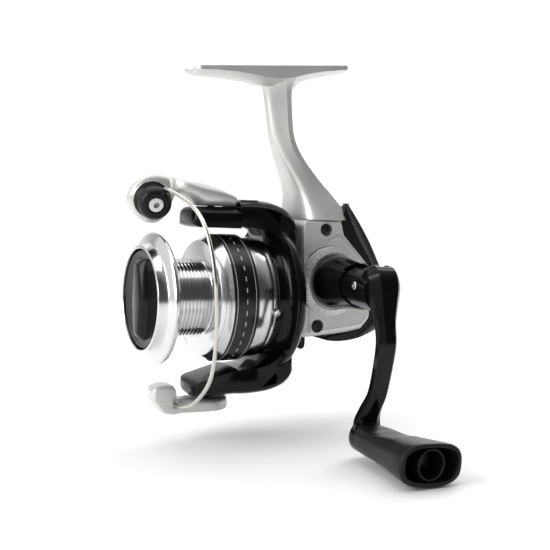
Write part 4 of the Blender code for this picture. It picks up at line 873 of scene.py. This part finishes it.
arm_rings = [
    arm_section(42.0, 6.4, 4.6, 2.2, 1.0, -1.0), arm_section(43.4, 5.4, 5.4, 3.6, 0.9, -1.0),
    arm_section(45.2, 3.2, 5.8, 4.5, 0.7, -1.0), arm_section(46.8, -0.2, 5.6, 4.4, 0.5, -1.0),
    arm_section(48.3, -4.8, 4.5, 3.4, 0.3, -1.0),
    arm_section(49.8, -10.0, 3.5, 2.7, 0.25, -1.0), arm_section(51.3, -15.6, 3.3, 2.6, 0.0, -1.0),
    arm_section(50.9, -22.0, 3.2, 2.5, -0.1, -1.0), arm_section(49.0, -32.0, 3.1, 2.4, -0.3, -1.0),
    arm_section(46.0, -37.4, 3.5, 2.4, -0.4, -1.0), arm_section(44.4, -41.2, 4.3, 1.9, -0.2, -1.0),
    arm_section(44.3, -43.6, 4.7, 1.9, -0.1, -1.0), arm_section(44.3, -47.4, 4.8, 1.9, 0.0, -1.0),
]
piece("crank_arm_lever", loft(smooth_rings(arm_rings, 4)), "gloss_black", "arm", ["crank_arm"], CRANK,
      join=[about_fold(knuckle), moved(along_x(soft_rod(5.3, 42.0, 46.4, 0.8, 64)), z=-CRANK_RADIUS)],
      cut=[about_fold(rod(1.62, -9.0, 9.0, 32)),
           about_fold(prism([(-14.0, -6.0), (0.0, -6.0), (4.3, -4.3), (5.85, 0.0), (5.85, 12.0),
                             (-14.0, 12.0)], -2.1, 2.1, "Y")),
           moved(along_x(rod(1.92, 43.0, 48.0, 32)), z=-CRANK_RADIUS)],
      edge=0.45, sharp=22)
piece("fold_pin_rivet", about_fold(soft_rod(1.3, -7.2, 7.2, 0.35, 40)), "steel", "crank", ["fold_pin"],
      CRANK, cut=[about_fold(rod(0.5, -8.0, -6.9, 24))], edge=0.05)

# ---------------------------------------------------------------- knob
knob_rows = [(46.8, 5.3, 3.6, 2.2), (47.1, 5.9, 4.1, 2.3), (47.9, 6.8, 4.7, 2.4), (53.0, 7.4, 4.9, 2.5),
             (60.0, 8.1, 5.0, 2.6), (67.0, 9.0, 5.4, 2.7), (74.0, 10.2, 6.1, 2.8),
             (78.6, 10.85, 6.55, 2.9), (79.9, 10.9, 6.6, 2.9), (80.4, 10.6, 6.3, 2.9), (80.5, 10.2, 5.9, 2.9)]
knob_rings = [[vec(x, a, b) for a, b in oval(w, h, 72, p)] for x, w, h, p in knob_rows]
pocket = loft([[vec(x, a, b) for a, b in oval(w, h, 72, 2.9)]
               for x, w, h in ((71.0, 7.8, 4.2), (79.4, 9.2, 4.95), (80.3, 9.5, 5.2), (81.5, 10.0, 5.7))])
scoops = [moved(rod(26.0, -30.0, 30.0, 96), x=57.0, z=z) for z in (29.6, -29.6)]
piece("knob_body", loft(knob_rings), "satin_black", "knob", ["handle_knob"], KNOB,
      cut=[pocket, along_x(lathe([(0, 44.0), (2.2, 44.0), (2.2, 71.6), (0, 71.6)]))] + scoops,
      edge=0.25, sharp=34)
piece("knob_tube", along_x(lathe([(2.25, 70.8), (4.95, 70.8), (4.95, 79.7), (4.75, 80.1), (4.35, 80.1),
                                  (4.15, 79.7), (4.0, 72.2), (2.25, 72.2)])),
      "satin_black", "knob", [], KNOB, edge=0.08)
piece("knob_cap_disc", along_x(lathe([(0, 75.6), (1.2, 75.5), (2.8, 75.2), (3.2, 74.8), (3.2, 73.4),
                                      (0, 73.4)])), "satin_black", "knob", ["knob_cap"], KNOB,
      edge=0.05)

# ---------------------------------------------------------------- spool
groove_count = 10
drum = [(13.4, 3.0), (13.1, 3.3)]
pitch = (16.2 - 3.6) / groove_count
for i in range(groove_count):
    at = 3.6 + pitch * i
    drum += [(13.1, at), (13.1, at + pitch * 0.42), (12.9, at + pitch * 0.5), (12.62, at + pitch * 0.66),
             (12.6, at + pitch * 0.78), (12.85, at + pitch * 0.94)]
outer_line = [(16.7, -4.15), (16.9, -4.3), (17.3, -4.3), (17.6, -4.1), (17.62, -3.7), (18.3, -1.3),
              (18.6, -1.05), (20.9, -0.5), (21.6, -0.2), (21.95, 0.15), (22.0, 0.5), (22.0, 1.05),
              (21.8, 1.4), (20.8, 2.1), (20.0, 2.35), (15.2, 2.5), (13.8, 2.6)] + drum
outer_line += [(13.1, 16.3), (13.3, 16.55), (13.6, 16.62), (19.3, 16.62), (19.5, 16.75), (20.35, 18.4),
               (20.5, 18.75), (21.45, 20.2), (21.6, 20.42), (21.6, 29.1), (21.45, 29.25), (20.7, 29.35),
               (20.62, 29.5), (20.6, 29.9), (20.6, 34.9), (20.45, 35.15), (20.2, 35.2), (20.05, 35.35),
               (20.05, 37.2), (19.9, 37.5), (19.1, 37.5)]
inner_line = [(19.0, 37.3), (19.0, 20.6), (18.2, 18.6), (11.2, 18.6), (11.2, 12.6), (2.15, 12.6), (2.15, 9.2),
              (9.6, 9.2), (9.6, 1.0), (15.0, 0.2), (16.6, -0.9), (16.7, -3.9)]
piece("spool_body", lathe(outer_line + inner_line, 192), "turned_aluminium", "spool", ["spool"],
      edge=0.0, sharp=36,
      extra=(BAND, lambda p: 20.43 < p.y < 29.2 and math.hypot(p.x, p.z) > 21.0))
clip_angle = math.radians(-9)
where = (REEL @ shift(20.5 * math.cos(clip_angle), 36.5, 20.5 * math.sin(clip_angle))
         @ Matrix.Rotation(-clip_angle, 4, "Y"))
piece("line_clip_button", along_x(lathe([(0, 0.0), (1.3, 0.0), (1.3, 0.4), (1.1, 0.55), (0.95, 0.8),
                                         (0.6, 0.9), (0, 0.92)], 48)), "steel", "spool", ["line_clip"],
      where, edge=0.0)

# ---------------------------------------------------------------- drag knob
disc = [(0, -3.2), (12.0, -3.2), (12.6, -3.35), (14.9, -3.35), (15.5, -3.55), (16.0, -3.5), (16.25, -3.2),
        (16.3, -2.6), (16.3, -0.9), (7.6, -0.9), (7.6, 2.0), (0, 2.0)]
grip_rings = []
for y, w, h, mid in ((-2.8, 4.9, 13.9, 5.9), (-3.8, 4.3, 13.5, 5.4), (-5.0, 3.2, 12.3, 4.2),
                     (-5.5, 2.5, 11.6, 3.4), (-5.65, 1.9, 11.0, 2.8)):
    loop = [(-w * 0.72, -h), (w * 0.72, -h), (w, -h * 0.78), (mid, 0), (w, h * 0.78),
            (w * 0.72, h), (-w * 0.72, h), (-w, h * 0.78), (-mid, 0), (-w, -h * 0.78)]
    grip_rings.append([vec(a, y, b) for a, b in rounded(loop, 1.2, 3)])
piece("drag_knob_cap", lathe(disc, 128), "gloss_black", "drag", ["drag_knob"],
      join=[loft(grip_rings)], cut=[rod(2.2, -3.0, 3.0, 32), rod(4.6, -2.2, 3.0, 6)],
      edge=0.18, sharp=28)

# ---------------------------------------------------------------- rotor
CUP_R = 18.3
rotor_profile = [
    (3.1, 23.0), (17.6, 23.0), (18.1, 23.3), (CUP_R, 23.9), (CUP_R, 39.9), (18.7, 41.0), (19.6, 41.9),
    (20.8, 42.6), (21.9, 42.8), (23.4, 42.6), (24.6, 42.1), (25.1, 41.6), (25.4, 41.35), (25.8, 41.4),
    (26.0, 41.7), (26.0, 43.2), (25.7, 43.8), (24.4, 45.0), (21.6, 46.6), (18.9, 47.6), (17.2, 47.6),
    (16.6, 47.4), (16.3, 47.1), (16.3, 26.0), (6.6, 26.0), (6.6, 32.4), (3.1, 32.4),
]


def arm_ring(y, low, high, half, side, tilt=0.0):
    """A section of a rotor arm between two heights; tilt leans the outer edge rearwards."""
    span = high - low
    rise = [(-1.0, 0.0), (-1.0, 0.3), (-1.0, 0.55), (-0.93, 0.74), (-0.8, 0.86), (-0.6, 0.94), (-0.3, 0.985)]
    fall = [(-a, b) for a, b in reversed(rise)]
    points = rise + [(0.0, 1.0)] + fall + [(0.6, -0.04), (0.0, -0.05), (-0.6, -0.04)]
    return [vec(a * half, y + (b - 0.5) * tilt, side * (low + span * b)) for a, b in points]


def rotor_arm(side, seat):
    """One of the rotor's two arms; the upper one's tip reaches further forward."""
    tip, taper = (11.6, 0.0) if side > 0 else (13.2, 3.4)
    front = [arm_ring(tip, 25.6 + taper, seat - 1.6, 5.6, side),
             arm_ring(tip + 0.4, 24.9 + taper, seat - 0.8, 6.7, side),
             arm_ring(tip + 1.1, 24.4 + taper, seat - 0.2, 7.5, side),
             arm_ring(tip + 2.2, 24.2 + taper * 0.9, seat, 8.0, side),
             arm_ring(28.2, 23.9, seat, 8.6, side)]
    rear = smooth_rings([
        arm_ring(28.3, 24.5, 33.3, 8.6, side), arm_ring(32.4, 24.1, 33.5, 8.8, side, 0.4),
        arm_ring(36.5, 23.6, 33.3, 9.2, side, 1.2), arm_ring(40.2, 22.6, 32.6, 10.2, side, 3.0),
        arm_ring(43.4, 20.8, 30.6, 12.0, side, 5.0), arm_ring(45.0, 18.4, 27.2, 14.0, side, 5.6),
        arm_ring(45.2, 15.0, 22.0, 14.6, side, 4.6)], 4)
    return loft(front + rear)


def window(side):
    """The triangular window through an arm near its root."""
    return prism([(a, side * b) for a, b in rounded([(37.2, 30.6), (42.4, 29.0), (41.6, 25.0)], 1.0, 4)],
                 -16.0, 16.0, "X")


piece("rotor_body", lathe(rotor_profile, 160), "gloss_black", "rotor", ["rotor"],
      join=[rotor_arm(1, 30.9), rotor_arm(-1, 33.4)],
      cut=[pipe(9.0, 16.25, 26.1, 49.0, 96), window(1), window(-1), box(-5.4, 5.4, 29.4, 36.2, 27.0, 35.3),
           moved(along_z(rod(1.35, 26.6, 34.0, 32)), y=BAIL_Y),
           moved(along_z(rod(1.35, -36.0, -28.4, 32)), y=BAIL_Y)],
      edge=0.4, sharp=33)
piece("arm_cover_lid", box(-5.1, 5.1, 29.7, 35.9, 31.2, 33.3), "gloss_black", "rotor", ["arm_cover_top"],
      cut=[along_z(moved(rod(0.9, 29.0, 35.0, 32), z=-32.8)),
           along_z(moved(rod(1.9, 32.5, 35.0, 40), z=-32.8))],
      edge=0.35)

# ---------------------------------------------------------------- bail
SEAT_Z = 31.05


def block_ring(y, x0, x1, z0, z1, power=3.4, count=48):
    """A rounded rectangle across Y."""
    return [vec((x0 + x1) / 2 + a, y, (z0 + z1) / 2 + b)
            for a, b in oval((x1 - x0) / 2, (z1 - z0) / 2, count, power)]


roller_place = shift(0, -0.4, 32.7) @ ROLLER_TURN
arm_rows = [
    block_ring(28.1, -4.6, 4.6, SEAT_Z + 0.2, 34.0), block_ring(27.4, -5.9, 5.9, SEAT_Z, 35.0),
    block_ring(24.6, -6.8, 6.8, SEAT_Z, 36.2, 3.0), block_ring(20.5, -7.3, 7.3, SEAT_Z, 37.6, 2.8),
    block_ring(16.0, -6.8, 6.4, SEAT_Z, 38.6, 2.8), block_ring(13.6, -7.0, 5.6, 33.0, 39.0, 2.8),
    block_ring(10.0, -7.2, 4.2, 34.6, 39.7, 3.2), block_ring(7.4, -7.4, 1.4, 34.2, 40.2, 2.8),
    block_ring(6.6, -7.4, -1.6, 28.8, 40.4, 2.4), block_ring(3.8, -7.4, -1.4, 25.6, 41.0, 2.4),
    block_ring(0.9, -7.4, -1.4, 24.8, 41.1, 2.4), block_ring(-2.4, -7.4, -1.4, 25.7, 40.2, 2.4),
    block_ring(-5.4, -7.2, -1.6, 28.3, 37.8, 2.4), block_ring(-7.2, -6.2, -2.6, 31.6, 34.6, 2.4),
]
piece("bail_arm_body", loft(smooth_rings(arm_rows[:5], 3)[:-1] + smooth_rings(arm_rows[4:8], 3)[:-1]
                            + smooth_rings(arm_rows[7:], 3)),
      "silver_paint", "bail", ["bail_arm"],
      cut=[moved(along_z(lathe([(0, 34.4), (2.9, 34.4), (3.1, 36.6), (3.6, 40.0), (0, 40.0)], 48)), y=BAIL_Y),
           moved(along_z(rod(2.0, 28.0, 36.0, 40)), y=BAIL_Y),
           carried(rod(1.6, -3.6, 3.0, 40), roller_place),
           carried(lathe([(0, -0.8), (7.6, -0.8), (7.6, 12.0), (0, 12.0)], 64), roller_place)],
      edge=0.4, sharp=36)
where = REEL @ shift(0, BAIL_Y, 35.9) @ Matrix.Rotation(-PI / 2, 4, "X")
piece("bail_arm_screw_head", pan_head(2.6, 1.2, 1.2, 7.6), "black_screw", "rotor", ["bail_arm_screw"],
      where, cut=[star(1.4, 0.8)], edge=0.06)

LOW_SEAT = -33.8
holder_rows = [
    block_ring(27.6, -1.6, 1.6, -37.2, LOW_SEAT - 0.4), block_ring(26.4, -4.0, 4.0, -38.2, LOW_SEAT),
    block_ring(23.6, -5.9, 5.9, -38.4, LOW_SEAT, 4.0), block_ring(20.5, -6.5, 6.5, -38.5, LOW_SEAT, 4.0),
    block_ring(15.4, -5.6, 5.6, -38.6, LOW_SEAT, 4.0), block_ring(10.6, -4.4, 4.6, -38.7, LOW_SEAT, 3.4),
    block_ring(8.3, -4.2, 4.4, -38.8, LOW_SEAT + 0.2, 6.0), block_ring(7.7, -4.2, 4.4, -38.8, -30.0, 9.0),
    block_ring(6.7, -4.2, 4.4, -38.8, -28.7, 9.0), block_ring(3.6, -4.1, 4.2, -38.0, -28.5, 9.0),
    block_ring(0.9, -3.3, 3.4, -34.2, -29.4, 9.0), block_ring(0.3, -2.7, 2.8, -33.2, -30.2, 8.0),
    block_ring(0.0, -2.2, 2.3, -32.8, -30.8, 6.0),
]
wire_points = [(6.6, 0.6, 35.4), (10.6, 0.4, 36.3), (18.0, 2.0, 34.3), (26.2, 3.5, 30.9), (31.6, 4.6, 26.1),
               (35.8, 5.3, 18.9), (37.9, 6.0, 10.2), (38.0, 6.4, 4.2), (37.7, 6.8, -2.4), (35.6, 7.5, -13.2),
               (30.6, 8.0, -23.0), (19.4, 8.4, -31.2), (10.0, 8.2, -34.6), (1.0, 6.9, -36.0)]
wire_path = spline(wire_points, 8)
WIRE_R = 0.62
piece("bail_holder_body", loft(smooth_rings(holder_rows[:7], 3)[:-1] + holder_rows[6:]),
      "silver_paint", "bail", ["bail_holder"],
      cut=[moved(along_z(lathe([(0, -40.0), (2.7, -40.0), (2.7, -36.6), (0, -36.6)], 48)), y=BAIL_Y),
           moved(along_z(rod(2.0, -38.0, -30.0, 40)), y=BAIL_Y), sweep(wire_path[-20:], WIRE_R + 0.08, 20)],
      edge=0.3, sharp=24)
where = REEL @ shift(0, BAIL_Y, -38.0) @ Matrix.Rotation(PI / 2, 4, "X")
piece("bail_holder_screw_head", pan_head(2.4, 1.2, 1.2, 7.6), "black_screw", "rotor",
      ["bail_holder_screw"], where, cut=[star(1.3, 0.8)], edge=0.06)
piece("bail_wire_bow", sweep(wire_path, WIRE_R, 24), WIRE, "bail", ["bail_wire"], edge=0.0)

cap_profile = [(1.75, 4.2), (5.3, 4.2), (5.45, 4.35), (5.45, 4.9), (5.2, 5.8), (4.7, 6.6), (4.1, 7.1),
               (3.3, 7.3), (2.85, 7.25), (2.8, 7.1), (2.8, 5.6), (1.75, 5.6)]
lug = sweep([(6.2, 0.2, 34.4), (9.6, 0.5, 36.1)], [1.1, 0.95], 24)
piece("bail_wire_cap_body", carried(lathe(cap_profile, 96), roller_place), "satin_black", "bail",
      ["bail_wire_cap"], join=[lug],
      cut=[carried(rod(2.8, 5.6, 12.0, 48), roller_place), sweep(wire_path[:30], WIRE_R + 0.08, 20)],
      edge=0.12)
piece("line_roller_wheel", lathe([(1.75, 0.3), (5.9, 0.3), (6.1, 0.45), (6.1, 0.8), (5.5, 1.3), (4.95, 1.9),
                                  (4.75, 2.6), (4.9, 3.2), (5.2, 3.55), (5.2, 3.9), (1.75, 3.9)], 96),
      "satin_black", "roller", ["line_roller"], ROLLER, edge=0.06)
washer_profile = [(1.7, -0.5), (6.3, -0.5), (6.4, -0.4), (6.4, -0.1), (6.3, 0.0), (1.7, 0.0)]
piece("roller_washer_ring", lathe(washer_profile, 96), "steel", "bail", ["roller_washer"], ROLLER, edge=0.0)
screw_where = ROLLER @ shift(0, 7.2, 0) @ Matrix.Rotation(PI, 4, "Z")
screw_profile = [(0, 0.0), (2.05, 0.0), (2.35, 0.08), (2.5, 0.3), (2.5, 1.3), (1.45, 1.3),
                 (1.45, 8.8), (0, 8.8)]
piece("roller_screw_head", lathe(screw_profile, 64), "steel", "bail", ["roller_screw"], screw_where,
      cut=[rod(1.1, -1.0, 2.4, 6)], edge=0.06)

# ---------------------------------------------------------------- the nodes kept as they are
KEPT_NODES = {
    "steel": ("clutch_ring", "pinion_bearing", "drive_bearing_right", "drive_bearing_left",
              "slider_rail", "knob_shaft", "clutch_sleeve", "rotor_nut", "bail_spring", "main_shaft",
              "drag_washer_metal", "drag_retainer", "drag_pressure_plate", "drag_spring"),
    "satin_black": ("front_retainer", "nose_ring"),
    "zinc": ("drive_gear", "oscillation_pinion", "oscillation_gear", "trip_lever", "oscillation_slider"),
    "brass": ("pinion_gear", "spool_collar", "drag_nut"),
    "black_screw": ("arm_cover_screw_top", "slider_screw"),
    "nylon": ("click_gear", "click_pawl"),
    "felt": ("drag_washer_felt", "drag_washer_felt_outer"),
}
for look, names in KEPT_NODES.items():
    for name in names:
        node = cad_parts[name]
        node.data.materials.clear()
        node.data.materials.append(LOOKS[look])
# ---------------------------------------------------------------- stage, light and camera
AZIMUTH = math.radians(62.57)
ELEVATION = math.radians(5.01)
ROLL = math.radians(1.73)
CAMERA_PLACE = (0.3179, -0.1600, -0.0387)
SENSOR_WIDTH = 36.0
FOCAL_LENGTH = 67.182545
CENTRE = vec(0.012, -0.004, -0.058)
FLOOR_GAP = 0.0004
FLOOR_NEAR = -1.6
FLOOR_FAR = 1.2
BEND_R = 0.8
BEND_PARTS = 12
WALL_TOP = 3.0
HALF_WIDTH = 3.0
SKY_STRENGTH = 0.9
DARK_TURN = math.radians(34)
DARK_LIFT = 0.1
SKY_SHADE = {"From Min": -0.1, "From Max": 0.75, "To Min": 1.0, "To Max": 0.08}
away = vec(-math.sin(AZIMUTH), math.cos(AZIMUTH), 0)
across = vec(math.cos(AZIMUTH), math.sin(AZIMUTH), 0)


def backdrop():
    """A pale sheet that lies under the reel and bends up into a wall behind it."""
    floor_z = min(corner[2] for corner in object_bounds()) - FLOOR_GAP
    profile = [(FLOOR_NEAR, 0.0), (FLOOR_FAR, 0.0)]
    for i in range(1, BEND_PARTS + 1):
        a = PI / 2 * i / BEND_PARTS
        profile.append((FLOOR_FAR + BEND_R * math.sin(a), BEND_R * (1 - math.cos(a))))
    profile.append((FLOOR_FAR + BEND_R, WALL_TOP))
    sheet = bmesh.new()
    near, far = [[sheet.verts.new(away * d + across * w + vec(0, 0, floor_z + h)) for d, h in profile]
                 for w in (-HALF_WIDTH, HALF_WIDTH)]
    for i in range(len(profile) - 1):
        sheet.faces.new((near[i], near[i + 1], far[i + 1], far[i]))
    bmesh.ops.recalc_face_normals(sheet, faces=sheet.faces)
    data = bpy.data.meshes.new("backdrop")
    sheet.to_mesh(data)
    sheet.free()
    for polygon in data.polygons:
        polygon.use_smooth = True
    paper = Nodes("Pale seamless paper", (0.9, 0.9, 0.9), 0.0, 0.9).vary(0.015, 0.04, 3.0)
    data.materials.append(paper.material)
    floor = bpy.data.objects.new("backdrop", data)
    bpy.context.scene.collection.objects.link(floor)
    floor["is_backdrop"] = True


def studio_sky():
    """An even pale surround that falls to dark towards one side, for the dark streaks on bright metal."""
    world = bpy.data.worlds.new("studio")
    bpy.context.scene.world = world
    world.use_nodes = True
    nodes = world.node_tree.nodes
    links = world.node_tree.links
    background = nodes["Background"]
    background.inputs["Strength"].default_value = SKY_STRENGTH
    facing = nodes.new("ShaderNodeVectorMath")
    facing.operation = "DOT_PRODUCT"
    facing.inputs[1].default_value = (across * math.sin(DARK_TURN) - away * math.cos(DARK_TURN)
                                      + vec(0, 0, DARK_LIFT))
    links.new(nodes.new("ShaderNodeTexCoord").outputs["Generated"], facing.inputs[0])
    shade = nodes.new("ShaderNodeMapRange")
    for socket, value in SKY_SHADE.items():
        shade.inputs[socket].default_value = value
    links.new(facing.outputs["Value"], shade.inputs["Value"])
    links.new(shade.outputs[0], background.inputs["Color"])


def softbox(name, place, size, power, aim=CENTRE):
    """A rectangular area light that faces a point."""
    light = bpy.data.lights.new(name, "AREA")
    light.shape = "RECTANGLE"
    light.size, light.size_y = size
    light.energy = power
    lamp = bpy.data.objects.new(name, light)
    bpy.context.scene.collection.objects.link(lamp)
    lamp.location = place
    lamp.rotation_euler = (Vector(aim) - Vector(place)).to_track_quat("-Z", "Y").to_euler()
    lamp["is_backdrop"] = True


def photo_camera():
    """The view from the handle side and the front, a little above the reel."""
    back = vec(math.sin(AZIMUTH) * math.cos(ELEVATION), -math.cos(AZIMUTH) * math.cos(ELEVATION),
               math.sin(ELEVATION))
    level_up = back.cross(across)
    right = math.cos(ROLL) * across + math.sin(ROLL) * level_up
    up = -math.sin(ROLL) * across + math.cos(ROLL) * level_up
    data = bpy.data.cameras.new("photo view")
    data.sensor_width = SENSOR_WIDTH
    data.lens = FOCAL_LENGTH
    data.clip_start = 0.01
    camera = bpy.data.objects.new("photo view", data)
    bpy.context.scene.collection.objects.link(camera)
    camera.matrix_world = Matrix.Translation(CAMERA_PLACE) @ Matrix((right, up, back)).transposed().to_4x4()
    bpy.context.scene.camera = camera


backdrop()
studio_sky()
softbox("key_left", across * -0.55 - away * 0.35 + vec(0, 0, 0.22), size=(0.35, 0.6), power=3.4)
softbox("backdrop_wash", away * 0.9 + vec(0, 0, 1.5), size=(2.6, 0.8), power=26.0,
        aim=away * 2.0 + vec(0, 0, 0.35))
softbox("top", vec(0.05, 0.0, 0.62), size=(0.7, 0.5), power=1.6)
softbox("rim_back", away * 0.45 + across * 0.3 + vec(0, 0, 0.2), size=(0.3, 0.4), power=1.2)
photo_camera()
bpy.context.scene.view_settings.view_transform = "Standard"
